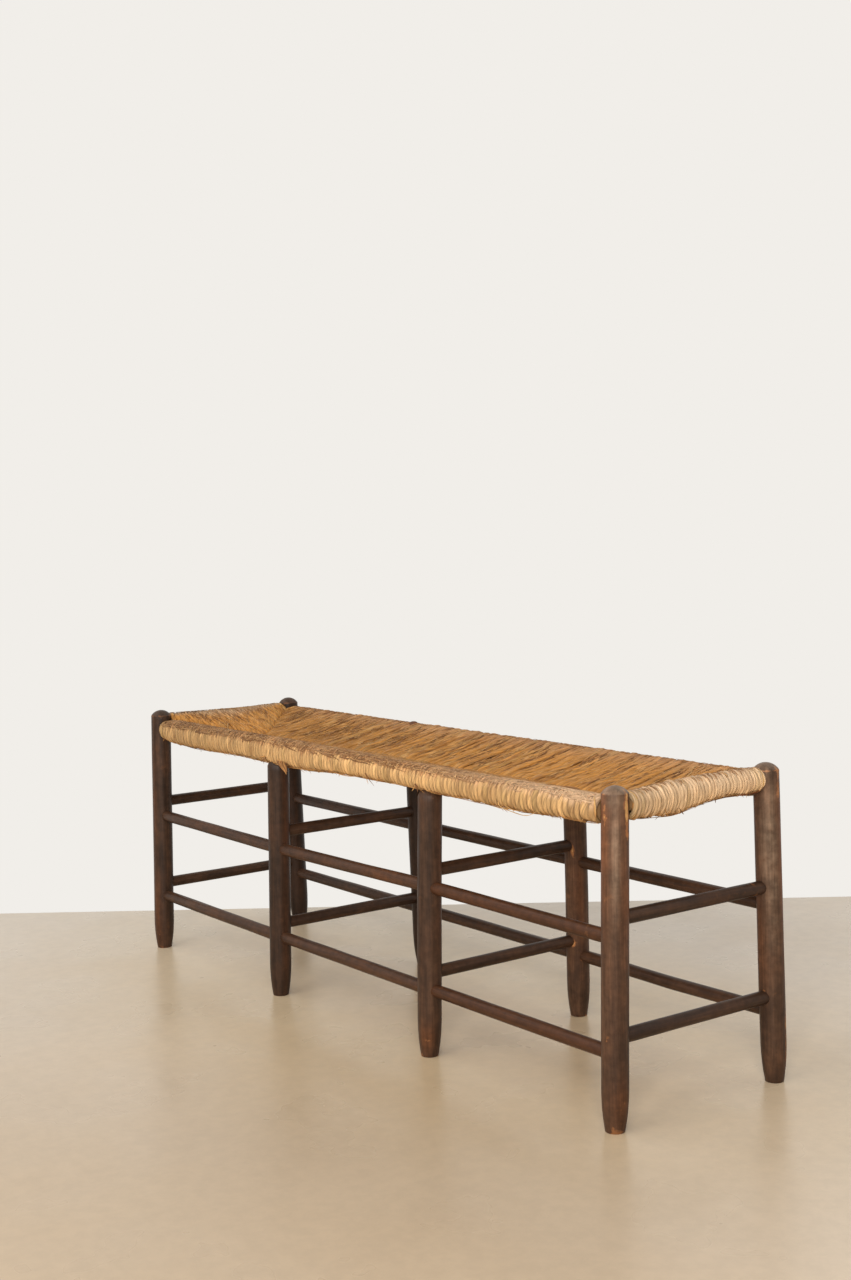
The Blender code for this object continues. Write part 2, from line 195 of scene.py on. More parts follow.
deselect()
toward_bench = Vector((math.sin(FAR_EDGE_TURN), -math.cos(FAR_EDGE_TURN), 0))
bpy.ops.mesh.primitive_plane_add(size=FLOOR_SIZE, rotation=(0, 0, FAR_EDGE_TURN),
                                 location=FAR_EDGE_POINT + toward_bench * FLOOR_SIZE / 2)
floor = bpy.context.object
floor.name = "floor"
bpy.ops.object.transform_apply(location=True, rotation=True, scale=True)
paint = Finish("pale floor")
place = paint.add("TexCoord").outputs["Object"]
broad = paint.span(paint.noise(place, 1.6, 4.0), 0.3, 0.7, 0.955, 1.035)
fine = paint.span(paint.noise(place, 40.0, 4.0, 0.7), 0.3, 0.7, 0.955, 1.035)
behind = paint.add("VectorMath", {0: place, 1: AWAY}, operation="DOT_PRODUCT").outputs["Value"]
beside = paint.add("VectorMath", {0: place, 1: RIGHTWARD}, operation="DOT_PRODUCT").outputs["Value"]
# Lighter away from the camera and to the right: painted light.
tone = paint.blend(paint.span(behind, -1.0, 0.7), opaque(NEAR_TONE), opaque(FAR_TONE))
tone = paint.blend(paint.span(beside, -0.10, 1.0, 0.0, 0.90), tone, opaque(RIGHT_TONE))
from_bench = paint.add("VectorMath", {0: place, 1: ELLIPSE}, operation="MULTIPLY").outputs["Vector"]
distance = paint.add("VectorMath", {0: from_bench}, operation="LENGTH").outputs["Value"]
shadow_share = paint.span(distance, *ELLIPSE_FADE, 1.0, 0.0)
# The colour of the shadow under the bench, painted on the floor.
tone = paint.blend(shadow_share, tone, opaque(UNDER_BENCH_SHADOW), "MULTIPLY")
paint.feed(paint.surface, "Base Color", paint.shade(paint.shade(tone, broad), fine))
paint.feed(paint.surface, "Roughness", paint.span(paint.noise(place, 6.0, 3.0), 0.3, 0.7, 0.25, 0.36))
paint.feed(paint.surface, "Specular IOR Level", 0.5)
floor.data.materials.append(paint.material)
print("floor:", floor.name, "far edge through", tuple(round(v, 3) for v in FAR_EDGE_POINT))

# %% Lamps and world
WORLD_LIGHT = 0.25
WORLD_SHOWN = seen(241, 238, 233)
BENCH_MIDDLE = Vector((0, 0, 0.28))


def add_window(name, place, width, height, power, warmth):
    """A soft rectangular lamp that faces the bench."""
    lamp = bpy.data.lights.new(name, "AREA")
    lamp.shape = "RECTANGLE"
    lamp.size, lamp.size_y = width, height
    lamp.energy = power
    lamp.color = warmth
    thing = bpy.data.objects.new(name, lamp)
    bpy.context.collection.objects.link(thing)
    thing.location = place
    thing.rotation_euler = (BENCH_MIDDLE - Vector(place)).to_track_quat("-Z", "Y").to_euler()


# Name, place, width, height, power in watts, colour.
add_window("front_window", (0.5, -3.1, 1.5), 2.2, 1.8, 46, (1.0, 0.965, 0.92))
add_window("side_window", (2.9, -2.4, 1.7), 1.4, 1.6, 84, (1.0, 0.965, 0.93))
add_window("high_window", (-1.2, -1.6, 2.9), 2.6, 2.6, 20, (1.0, 0.975, 0.95))
add_window("back_window", (0.7, 1.3, 2.7), 2.0, 2.0, 7.5, (1.0, 0.985, 0.97))

world = bpy.data.worlds.new("soft white room")
bpy.context.scene.world = world
world.use_nodes = True
nodes = world.node_tree.nodes
links = world.node_tree.links
glow = nodes["Background"]
glow.inputs["Color"].default_value = opaque((1.0, 0.985, 0.965))
glow.inputs["Strength"].default_value = WORLD_LIGHT
shown = nodes.new("ShaderNodeBackground")
shown.inputs["Color"].default_value = opaque(WORLD_SHOWN)
rays = nodes.new("ShaderNodeLightPath")
clear = rays.outputs["Is Camera Ray"]
for kind in ("Is Glossy Ray", "Is Transmission Ray"):
    either = nodes.new("ShaderNodeMath")
    either.operation = "MAXIMUM"
    links.new(clear, either.inputs[0])
    links.new(rays.outputs[kind], either.inputs[1])
    clear = either.outputs[0]
mix = nodes.new("ShaderNodeMixShader")
for number, source in enumerate((clear, glow.outputs[0], shown.outputs[0])):
    links.new(source, mix.inputs[number])
links.new(mix.outputs[0], nodes["World Output"].inputs["Surface"])

# %% [markdown]
# ## Measuring the frame
#
# Nothing is fitted by eye here. Each leg's axis runs through the middle of its lowest and
# highest ring of points, each stretcher fills its own box, and the rails give the rolls
# their centres.

# %% Measures of the bench
def ring_centre(node, highest):
    """Middle of the lowest or the highest ring of a solid's points."""
    low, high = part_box(node)
    level = high.z if highest else low.z
    ring = [v.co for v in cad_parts[node].data.vertices if abs(v.co.z - level) < 1e-4]
    spots = {(round(co.x, 5), round(co.y, 5)) for co in ring}
    middle = Vector((sum(x for x, y in spots), sum(y for x, y in spots), 0)) / len(spots)
    return middle + Vector((0, 0, level))


leg_low, leg_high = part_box("front_left_leg")
LEG_HEIGHT = leg_high.z
LEG_RADIUS = (leg_high.x - leg_low.x) / 2
HALF_LENGTH = -(leg_high.x + leg_low.x) / 2
long_rail_low, long_rail_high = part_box("front_seat_rail")
end_rail_low, end_rail_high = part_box("right_seat_rail")
seat_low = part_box("rush_seat")[0]
LONG_RAIL_RADIUS = (long_rail_high.z - long_rail_low.z) / 2
LONG_RAIL_Z = (long_rail_high.z + long_rail_low.z) / 2
END_RAIL_RADIUS = (end_rail_high.z - end_rail_low.z) / 2
END_RAIL_Z = (end_rail_high.z + end_rail_low.z) / 2
HALF_DEPTH = -(long_rail_high.y + long_rail_low.y) / 2
RUSH = long_rail_low.y - seat_low.y
LONG_SIDES = ("front", "back")


def measures_of(side):
    """Half the length of a side of the seat, half of the other way, its rail's height and radius."""
    if side in LONG_SIDES:
        return HALF_LENGTH, HALF_DEPTH, LONG_RAIL_Z, LONG_RAIL_RADIUS
    return HALF_DEPTH, HALF_LENGTH, END_RAIL_Z, END_RAIL_RADIUS


print("leg radius", round(LEG_RADIUS, 4), "half length", round(HALF_LENGTH, 4), "half depth",
      round(HALF_DEPTH, 4), "rush", round(RUSH, 4))

# %% [markdown]
# ## Worn dark wood
#
# The frame was stained nearly black-brown and has been rubbed ever since. The stain is
# thin, so the grain shows as long streaks, warmer where hands and feet have polished it.
# Edges and knocks have gone through to orange and then to bare wood. Four numbers are
# stored on each point of the mesh: "rubbed" for the warm polish, "bare" for the knocks and
# for a painted highlight along the rims of the corner domes, a third for pale grime and for
# painted highlights, and "tone", which makes the stain lighter or darker, partly as painted
# shade and painted light. The shader breaks the first three up with noise, so that no patch
# has a clean outline. The streaks run with the grain, so there is one finish for each
# direction of a piece.

# %% Finish of the frame
STAIN_DARK = seen(60, 42, 31)
STAIN_LIGHT = seen(93, 67, 50)
STAIN_WARM = seen(110, 68, 42)
WORN_THROUGH = seen(154, 102, 64)
BARE_WOOD = seen(206, 158, 100)
# A pale grey-brown for dust, also used for painted highlights on the legs.
DUST_AND_SHEEN = seen(154, 131, 109)
GRAIN_ALONG = 5.0
GRAIN_ACROSS = 95.0


def along_grain(wood, place, axis):
    """Places for a pattern that is drawn out along one axis."""
    stretch = [GRAIN_ACROSS] * 3
    stretch["XYZ".index(axis)] = GRAIN_ALONG
    return wood.stretched(place, stretch)


def worn_wood(name, grain_axis):
    """Dark stain over a streaked grain that runs along one axis."""
    wood = Finish(name)
    place = wood.add("TexCoord").outputs["Object"]
    grain_place = along_grain(wood, place, grain_axis)
    grain = wood.noise(grain_place, 1.0, 5.0, 0.6)
    fine = wood.noise(grain_place, 4.0, 2.0, 0.5, 3.0)
    cloud = wood.noise(place, 14.0, 3.0, 0.6, 1.0)
    patchy = wood.noise(place, 48.0, 4.0, 0.62, 2.0)
    mottle = wood.noise(place, 85.0, 3.0, 0.62, 5.0)
    mixed = wood.sum(wood.times(grain, 0.62), wood.times(cloud, 0.38))
    body = wood.blend(wood.span(mixed, 0.36, 0.66), opaque(STAIN_DARK), opaque(STAIN_LIGHT))
    warmth = wood.sum(wood.span(cloud, 0.46, 0.74, 0.0, 0.28), wood.attribute("rubbed"))
    warmth = wood.times(warmth, wood.span(grain, 0.3, 0.7, 0.55, 1.0))
    body = wood.blend(warmth, body, opaque(STAIN_WARM))
    edge = wood.sum(wood.attribute("bare"), wood.span(patchy, 0.3, 0.7, -0.42, 0.42))
    body = wood.blend(wood.span(edge, 0.36, 0.62), body, opaque(WORN_THROUGH))
    body = wood.blend(wood.span(edge, 0.78, 0.98), body, opaque(BARE_WOOD))
    # Pale dust, and painted highlights on the legs, mixed into the stain.
    dust_and_sheen_share = wood.times(wood.attribute("dust_and_sheen"), wood.span(patchy, 0.35, 0.65, 0.4, 1.0))
    body = wood.blend(dust_and_sheen_share, body, opaque(DUST_AND_SHEEN))
    depth = wood.times(wood.span(fine, 0.2, 0.8, 0.78, 1.22), wood.span(mottle, 0.3, 0.7, 0.80, 1.20))
    wood.feed(wood.surface, "Base Color", wood.shade(body, wood.times(depth, wood.attribute("tone"))))
    rough = wood.sum(wood.span(cloud, 0.3, 0.7, 0.36, 0.5), wood.span(edge, 0.4, 0.9, 0.0, 0.22))
    wood.feed(wood.surface, "Roughness", rough)
    wood.feed(wood.surface, "Specular IOR Level", 0.20)
    relief = wood.sum(wood.times(grain, 0.6), wood.times(patchy, 0.5))
    wood.bump(wood.sum(relief, wood.span(edge, 0.5, 0.9, 0.0, -0.8)), 0.0008, 0.55)
    return wood.material


worn_finish = {axis: worn_wood(f"worn dark wood {way}", axis)
               for axis, way in (("Z", "upright"), ("X", "lengthwise"), ("Y", "crosswise"))}
print("finishes:", [finish.name for finish in worn_finish.values()])

# %% [markdown]
# ## Turning round pieces
#
# A lathe makes a round piece by its profile: a radius at each place along it. In Blender
# the same thing can be made from a filled circle, extruded ring after ring, each new ring
# moved to its place and scaled to its radius. Extruding in small steps also leaves enough
# points along the piece for the wear to be painted on.

# %% A turned piece
FACING = {"X": (0, math.pi / 2, 0), "Y": (math.pi / 2, 0, 0), "Z": (0, 0, 0)}
# A rim sharper than this is rounded, and a fold gentler than the other is shaded smooth.
SHARP_RIM = math.radians(32)
SMOOTH_FOLD = math.radians(40)
# How close the tool's marks lie round a piece, and how much they are drawn out along it.
MARKS_PER_METRE = 26
MARKS_DRAWN_OUT = 0.35


def turn_piece(name, axis, stations, sides):
    """A closed round piece through a list of (centre, radius)."""
    deselect()
    centre, radius = stations[0]
    bpy.ops.mesh.primitive_circle_add(vertices=sides, radius=radius, fill_type="NGON",
                                      location=centre, rotation=FACING[axis])
    piece = bpy.context.object
    piece.name = name
    bpy.ops.object.transform_apply(location=True, rotation=True, scale=True)
    bpy.ops.object.mode_set(mode="EDIT")
    for (near, near_radius), (far, far_radius) in zip(stations, stations[1:]):
        bpy.ops.mesh.extrude_region_move(TRANSFORM_OT_translate={"value": Vector(far) - Vector(near)})
        scale = [far_radius / near_radius] * 3
        scale["XYZ".index(axis)] = 1.0
        bpy.ops.transform.resize(value=scale, center_override=far)
    bpy.ops.mesh.select_all(action="SELECT")
    bpy.ops.mesh.normals_make_consistent(inside=False)
    bpy.ops.object.mode_set(mode="OBJECT")
    return piece


def soften_edges(piece, width):
    """A small round on sharp rims, then smooth shading everywhere else."""
    bevel = piece.modifiers.new("worn rim", "BEVEL")
    bevel.width = width
    bevel.segments = 3
    bevel.limit_method = "ANGLE"
    bevel.angle_limit = SHARP_RIM
    bpy.context.view_layer.objects.active = piece
    piece.select_set(True)
    bpy.ops.object.modifier_apply(modifier=bevel.name)
    bpy.ops.object.shade_smooth_by_angle(angle=SMOOTH_FOLD)


def hand_made(piece, axis, depth, seed):
    """Move each point in or out a little, as a hand-held gouge would have."""
    for vertex in piece.data.vertices:
        spot = vertex.co * MARKS_PER_METRE
        spot["XYZ".index(axis)] *= MARKS_DRAWN_OUT
        push = noise.noise(spot + Vector((seed, seed * 2.0, 0))) * depth
        out = vertex.normal.copy()
        out["XYZ".index(axis)] = 0
        vertex.co += out * push


def finish_wood(piece, node, axis):
    """The finish, and the piece's place in the frame."""
    piece.data.materials.append(worn_finish[axis])
    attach(piece, "root")
    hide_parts(node)


print("round pieces turn along", sorted(FACING))

# %% [markdown]
# ## Wear, patch by patch
#
# Each knock and rub is placed as a restorer would note it: which leg, how far round it
# from the side that faces the camera, how high, and how large. Angles run to the right.

# %% Where the wear is
TO_RIGHT = Vector((0.588, 0.809, 0))
TO_CAMERA = Vector((0.809, -0.588, 0))
# For each leg: kind, degrees round to the right, height, half width, half height, strength.
# The pale dust spots that face the camera on the two right corner legs are painted highlights.
LEG_WEAR = {
    "front_right_leg": [
        ("bare", 49, 0.424, 0.0030, 0.024, 1.32), ("bare", 50, 0.392, 0.0028, 0.022, 0.80),
        ("dust_and_sheen", -4, 0.372, 0.0046, 0.070, 0.46), ("dust_and_sheen", -12, 0.436, 0.0100, 0.009, 0.42),
        ("rubbed", 55, 0.300, 0.010, 0.070, 0.60), ("bare", -54, 0.4060, 0.0026, 0.0044, 1.20),
        ("bare", -56, 0.416, 0.0026, 0.020, 0.62), ("rubbed", -70, 0.360, 0.008, 0.090, 0.80),
        ("bare", -43, 0.1216, 0.0018, 0.0022, 0.95), ("bare", 45, 0.104, 0.0016, 0.0020, 0.70),
        ("bare", -25, 0.003, 0.0060, 0.0040, 0.78), ("bare", 35, 0.038, 0.0040, 0.0060, 0.48),
        ("rubbed", 30, 0.040, 0.012, 0.026, 0.90), ("bare", 22, 0.268, 0.0020, 0.012, 0.55),
    ],
    "back_right_leg": [
        ("bare", 50, 0.4265, 0.0028, 0.018, 0.95), ("dust_and_sheen", -3, 0.335, 0.0095, 0.100, 0.50),
        ("rubbed", 62, 0.330, 0.006, 0.120, 0.95), ("bare", 66, 0.078, 0.0026, 0.034, 0.70),
        ("bare", 30, 0.151, 0.0016, 0.0022, 0.90), ("bare", -52, 0.130, 0.0030, 0.0045, 0.85),
        ("rubbed", -62, 0.210, 0.008, 0.060, 0.70),
    ],
    "back_inner_right_leg": [
        ("bare", -22, 0.270, 0.0030, 0.0110, 0.82), ("bare", -32, 0.1236, 0.0032, 0.0048, 0.98),
        ("bare", 20, 0.0965, 0.0034, 0.0052, 0.98), ("rubbed", 10, 0.200, 0.008, 0.050, 0.70),
    ],
    "front_inner_right_leg": [
        ("bare", 84, 0.123, 0.0024, 0.0050, 0.75), ("rubbed", -15, 0.029, 0.011, 0.020, 1.00),
        ("bare", -15, 0.029, 0.0050, 0.0070, 0.52), ("rubbed", 62, 0.250, 0.006, 0.120, 0.60),
    ],
    "front_inner_left_leg": [
        ("rubbed", 52, 0.300, 0.007, 0.140, 0.85), ("rubbed", 40, 0.120, 0.009, 0.080, 0.60),
    ],
    "front_left_leg": [
        ("bare", -35, 0.243, 0.0018, 0.0024, 0.85), ("bare", -24, 0.030, 0.0018, 0.0030, 0.80),
        ("rubbed", -30, 0.060, 0.010, 0.060, 0.90), ("rubbed", -50, 0.270, 0.006, 0.060, 0.60),
    ],
    "back_left_leg": [
        ("rubbed", 0, 0.200, 0.009, 0.120, 0.50),
    ],
    "back_inner_left_leg": [
        ("rubbed", 20, 0.180, 0.008, 0.100, 0.50),
    ],
}
# How steeply a spot of wear fades at its edge.
SPOT_FADE = 0.7
# How light each leg's stain is, beside the usual one: partly its own tone, and partly painted shade, darker
# on the legs toward the left end, farther from the lamps.
LEG_TONE_AND_SHADE = {
    "front_right_leg": 1.08, "back_right_leg": 1.15, "back_inner_right_leg": 1.14,
    "front_inner_right_leg": 0.72, "front_inner_left_leg": 0.47, "front_left_leg": 0.64,
    "back_left_leg": 0.36, "back_inner_left_leg": 0.50,
}
# The right corner legs grow darker toward the floor: height, and share of the leg's tone.
RIGHT_TONE_BY_HEIGHT = [(0.0, 0.66), (0.14, 0.74), (0.26, 0.96), (0.36, 1.04), (0.46, 1.04)]
# The proud tenon has been polished to a lighter brown.
TENON_TONE = 1.15
TENON_RUBBED = 0.7
# How bare the rim of a dome is, on a middle leg and on a corner leg, and how bare a sole is. On a corner leg
# the rim is partly worn bare and partly a painted highlight line.
RIM_WEAR_AND_SHEEN = {True: 0.10, False: 0.50}
RIM_WIDTH = 0.0016
FOOT_WEAR = 0.30
SOLE_HEIGHT = 0.004
# How pale the top of a dome is, with dust and a painted sheen, and how much lighter its stain is painted
# where it faces up, as painted light from above.
CROWN_DUST_AND_SHEEN = {"front_right_leg": 1.0, "back_right_leg": 0.45, "front_left_leg": 0.12, "back_left_leg": 0.06}
CROWN_PAINTED_LIGHT = {"back_left_leg": 2.0, "front_left_leg": 0.1}
# How far above the rim the dome's top counts as begun, and the tenon.
CROWN_START = 0.0005
TENON_START = 0.018


def read_table(table, share):
    """The value at a share, between the rows of a short table."""
    return float(np.interp(share, [row[0] for row in table], [row[1] for row in table]))


def paint_wear(piece, worn):
    """Keep each point's four amounts on the mesh, for the shader to read."""
    for kind in ("rubbed", "bare", "dust_and_sheen", "tone"):
        layer = piece.data.attributes.new(kind, "FLOAT", "POINT")
        layer.data.foreach_set("value", np.array([amounts[kind] for amounts in worn], dtype=np.float32))


def paint_leg(piece, node, foot, crown, rim_height):
    """Set how rubbed, bare, dusty and light a leg is at each point, painted highlights, shade and light
    included.
    """
    worn = []
    for vertex in piece.data.vertices:
        height = vertex.co.z
        out = vertex.co - foot.lerp(crown, (height - foot.z) / (crown.z - foot.z))
        angle = math.atan2(out.dot(TO_RIGHT), out.dot(TO_CAMERA))
        amounts = {"rubbed": 0.0, "bare": 0.0, "dust_and_sheen": 0.0}
        for kind, degrees, middle, half_width, half_height, strength in LEG_WEAR[node]:
            around = (angle - math.radians(degrees) + math.pi) % math.tau - math.pi
            reach = (around * LEG_RADIUS / half_width) ** 2 + ((height - middle) / half_height) ** 2
            amounts[kind] = max(amounts[kind], strength * math.exp(-reach * SPOT_FADE))
        rim = math.exp(-((height - rim_height) / RIM_WIDTH) ** 2)
        sole = math.exp(-(height / SOLE_HEIGHT) ** 2)
        # On a corner dome the bare rim is partly a painted highlight line.
        amounts["bare"] = max(amounts["bare"], RIM_WEAR_AND_SHEEN["inner" in node] * rim, FOOT_WEAR * sole)
        # The top of a dome takes pale dust with a painted sheen, and a lighter stain the more it faces up:
        # painted light from above.
        crown_share = max(0.0, vertex.normal.z) if height > rim_height + CROWN_START else 0.0
        amounts["dust_and_sheen"] = max(amounts["dust_and_sheen"], CROWN_DUST_AND_SHEEN.get(node, 0.0) * crown_share)
        amounts["tone"] = LEG_TONE_AND_SHADE[node] * (1 + CROWN_PAINTED_LIGHT.get(node, 0.0) * crown_share)
        if node.endswith("_right_leg") and "inner" not in node:
            amounts["tone"] *= read_table(RIGHT_TONE_BY_HEIGHT, height)
        if height > rim_height + TENON_START:
            amounts["tone"], amounts["rubbed"] = TENON_TONE, TENON_RUBBED
        worn.append(amounts)
    paint_wear(piece, worn)


print("wear spots:", sum(len(spots) for spots in LEG_WEAR.values()))

# %% [markdown]
# ## Legs
#
# A leg is a straight round post. Its foot tapers with a soft swell, and its top ends in a
# low dome with a crisp rim. The four middle legs stop under the seat and send a tenon up
# through the rail, so their profile goes on past the dome.

# %% Leg profile
LEG_SIDES = 44
SHAFT_STEP = 0.0085
FOOT_RADIUS = 0.0131
FOOT_TAPER = 0.055
FOOT_SWELL = 0.0012
CORNER_DOME = 0.0100
MIDDLE_DOME = 0.0130
DOME_TIP = 0.0012
# How far a middle leg's dome presses into the rush under its rail.
DOME_PRESS = 0.0011
TENON_RADIUS = 0.0075
# The one tenon that shows has been rubbed down a little below its solid's top.
WORN_DOWN = 0.0005
# Shares of the tenon's radius: how wide it is, and how far below its top.
TENON_TOP = [(1.0, 0.62), (0.93, 0.36), (0.76, 0.16), (0.46, 0.04), (0.16, 0.0)]
DOME_STEPS = 8
FOOT_STEPS = 8
# How deep the gouge marks of a hand-held tool are, and how round a rim has worn.
LEG_MARKS = 0.00035
RIM_ROUND = 0.0009


def foot_profile():
    for step in range(FOOT_STEPS):
        share = step / FOOT_STEPS
        radius = FOOT_RADIUS + (LEG_RADIUS - FOOT_RADIUS) * share + FOOT_SWELL * math.sin(math.pi * share)
        yield radius, FOOT_TAPER * share


def shaft_profile(top):
    count = round((top - FOOT_TAPER) / SHAFT_STEP)
    for step in range(count):
        yield LEG_RADIUS, FOOT_TAPER + (top - FOOT_TAPER) * step / count


def dome_profile(rim_height, dome, tip_radius):
    ball = (LEG_RADIUS ** 2 + dome ** 2) / (2 * dome)
    base = rim_height - (ball - dome)
    for step in range(DOME_STEPS + 1):
        radius = LEG_RADIUS + (tip_radius - LEG_RADIUS) * step / DOME_STEPS
        yield radius, base + math.sqrt(ball ** 2 - radius ** 2)


print("rings in a foot:", len(list(foot_profile())))

# %% [markdown]
# The third pair of legs has racked a little toward the right end. Their rods and the two
# rods across them are shifted with height, by a short table for the front leg and one for
# the back leg.

# %% How the third pair has racked
# Height, and how far to the right the wood has moved there.
RACKED = {
    "front": [(0.0, 0.0010), (0.20, 0.0026), (0.30, 0.0040), (0.40, 0.0062)],
    "back": [(0.0, -0.0060), (0.20, 0.0000), (0.30, 0.0016), (0.40, 0.0030)],
}


def rack(piece):
    """Shift a leg or a cross rod of the third pair with its height and depth."""
    for vertex in piece.data.vertices:
        height, depth = vertex.co.z, vertex.co.y
        front, back = read_table(RACKED["front"], height), read_table(RACKED["back"], height)
        share = min(max(0.5 + depth / (2 * HALF_DEPTH), 0), 1)
        vertex.co.x += front + (back - front) * share


print("racked at the seat:", read_table(RACKED["front"], LONG_RAIL_Z), "m")

# %% Turn the legs
for number, node in enumerate(sorted(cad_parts)):
    if not node.endswith("_leg"):
        continue
    foot, crown = ring_centre(node, False), ring_centre(node, True)
    if "inner" in node:
        rim = LONG_RAIL_Z - LONG_RAIL_RADIUS - MIDDLE_DOME + DOME_PRESS
        profile = [*foot_profile(), *shaft_profile(rim), *dome_profile(rim, MIDDLE_DOME, TENON_RADIUS)]
        tip = crown.z - WORN_DOWN
        profile += [(TENON_RADIUS * share, tip - TENON_RADIUS * drop) for share, drop in TENON_TOP]
    else:
        rim = LEG_HEIGHT - CORNER_DOME
        profile = [*foot_profile(), *shaft_profile(rim), *dome_profile(rim, CORNER_DOME, DOME_TIP)]
    stations = [(foot.lerp(crown, height / crown.z), radius) for radius, height in profile]
    leg = turn_piece("turned_" + node, "Z", stations, LEG_SIDES)
    hand_made(leg, "Z", LEG_MARKS, number)
    soften_edges(leg, RIM_ROUND)
    paint_leg(leg, node, foot, crown, rim)
    if "inner_right" in node:
        rack(leg)
    finish_wood(leg, node, "Z")

# %% [markdown]
# ## Stretchers
#
# A stretcher is a plain rod, a little uneven because it was shaved by hand. The front
# ones take the feet of whoever sits down, so they are rubbed warmest, most of all those at
# the right end.

# %% Turn the stretchers
STRETCHER_SIDES = 30
STRETCHER_STEP = 0.016
STRETCHER_TONE = 0.62
STRETCHER_MARKS = 0.0005
# A rod is a little thinner at its hidden ends.
HIDDEN_END = 0.86
# The warm run between the two front right legs is a little darker than the others.
WARM_RUN = "front_right"
WARM_RUN_SHARE = 0.72
# How far a rod lies above its place at its two ends and in the middle.
STRETCHER_SET = {
    "front_left_upper": (0.0, -0.0012, -0.0026), "front_middle_upper": (-0.0025, 0.0, 0.0028),
    "front_right_upper": (0.0025, 0.0016, 0.0007), "front_left_lower": (0.0005, -0.0004, -0.0013),
    "front_right_lower": (0.0008, 0.0010, 0.0014), "back_left_upper": (-0.0010, -0.0011, -0.0010),
    "back_right_upper": (-0.0005, -0.0005, -0.0005), "back_right_lower": (-0.0004, -0.0026, -0.0004),
    "inner_right_cross_lower": (0.0018, 0.0018, 0.0018),
    "inner_left_cross_lower": (-0.0010, -0.0010, -0.0010),
}
# How warm each run of stretchers is rubbed, by the start of its name, and the others.
STRETCHER_WARMTH = {"front_right": 1.0, "front_middle": 0.38, "front_left": 0.20, "back_right": 0.16}
PLAIN_WARMTH = 0.06
# For each stretcher: kind, share of its length, half length of the patch, strength.
STRETCHER_WEAR = {
    "front_right_upper": [("rubbed", 0.70, 0.050, 0.80), ("bare", 0.90, 0.012, 0.26)],
    "front_right_lower": [("bare", 0.10, 0.012, 0.30), ("rubbed", 0.35, 0.120, 0.75)],
    "front_middle_upper": [("rubbed", 0.75, 0.100, 0.70)],
    "right_end_upper": [("bare", 0.88, 0.006, 0.40)],
    "inner_right_cross_lower": [("bare", 0.04, 0.006, 0.60)],
}


def paint_stretcher(piece, node, start, length, index):
    """Warmth all along a rod, and its own patches."""
    warmth = next((warm for run, warm in STRETCHER_WARMTH.items() if node.startswith(run)), PLAIN_WARMTH)
    tone = STRETCHER_TONE * (WARM_RUN_SHARE if node.startswith(WARM_RUN) else 1)
    worn = []
    for vertex in piece.data.vertices:
        share = (vertex.co[index] - start) / length
        amounts = {"rubbed": warmth, "bare": 0.0, "dust_and_sheen": 0.0, "tone": tone}
        for kind, middle, half_length, strength in STRETCHER_WEAR.get(node.removesuffix("_stretcher"), []):
            off = (share - middle) * length / half_length
            amounts[kind] = max(amounts[kind], strength * math.exp(-off * off))
        worn.append(amounts)
    paint_wear(piece, worn)


for number, node in enumerate(sorted(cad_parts)):
    if not node.endswith("_stretcher"):
        continue
    low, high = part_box(node)
    axis = "X" if high.x - low.x > high.y - low.y else "Y"
    index = "XYZ".index(axis)
    length = high[index] - low[index]
    radius = (high.z - low.z) / 2
    count = round(length / STRETCHER_STEP)
    stations = []
    for step in range(count + 1):
        centre = (low + high) / 2
        centre[index] = low[index] + length * step / count
        rises = STRETCHER_SET.get(node.removesuffix("_stretcher"), (0, 0, 0))
        centre.z += float(np.interp(step / count, (0, 0.5, 1), rises))
        stations.append((centre, radius * (HIDDEN_END if step in (0, count) else 1.0)))
    rod = turn_piece("shaved_" + node, axis, stations, STRETCHER_SIDES)
    hand_made(rod, axis, STRETCHER_MARKS, number)
    bpy.ops.object.shade_smooth_by_angle(angle=SMOOTH_FOLD)
    paint_stretcher(rod, node, low[index], length, index)
    if node.startswith("inner_right_cross"):
        rack(rod)
    finish_wood(rod, node, axis)

# %% [markdown]
# ## Rails
#
# The four rails are buried in the rush and were never stained. They keep their solids and
# only take a finish: bare pale wood with a plain grain, in case one shows between cords.

# %% Bare wood of the rails
RAIL_PALE = seen(186, 148, 104)
RAIL_DARK = seen(142, 104, 66)


def bare_wood(name, grain_axis):
    wood = Finish(name)
    grain = wood.noise(along_grain(wood, wood.add("TexCoord").outputs["Object"], grain_axis), 1.0, 4.0)
    wood.feed(wood.surface, "Base Color", wood.blend(grain, opaque(RAIL_DARK), opaque(RAIL_PALE)))
    wood.feed(wood.surface, "Roughness", 0.62)
    wood.bump(grain, 0.0005, 0.4)
    return wood.material


rail_finish = {axis: bare_wood(f"bare rail wood {way}", axis)
               for axis, way in (("X", "lengthwise"), ("Y", "crosswise"))}
for name, axis in (("front", "X"), ("back", "X"), ("left", "Y"), ("right", "Y")):
    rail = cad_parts[name + "_seat_rail"]
    rail.data.materials.clear()
    rail.data.materials.append(rail_finish[axis])
print("finishes:", [finish.name for finish in rail_finish.values()])

# %% [markdown]
# ## Rush
#
# Rush cord is twisted by hand from damp leaves as the seat is wound, so a cord is never
# the same twice: it is fat where a new leaf was added and thin just before. Each leaf
# keeps its own colour. The finish reads two things stored on the cord's points: its tint,
# which also carries dirt and painted shade in the creases between cords, and painted shade
# at the seam and under the seat, and a place along and around the twist called "fibre".
# Long streaks in that place are the leaves, fine ones are the veins in them, and the dark
# thin ones are the gaps where one leaf ends and the next begins.

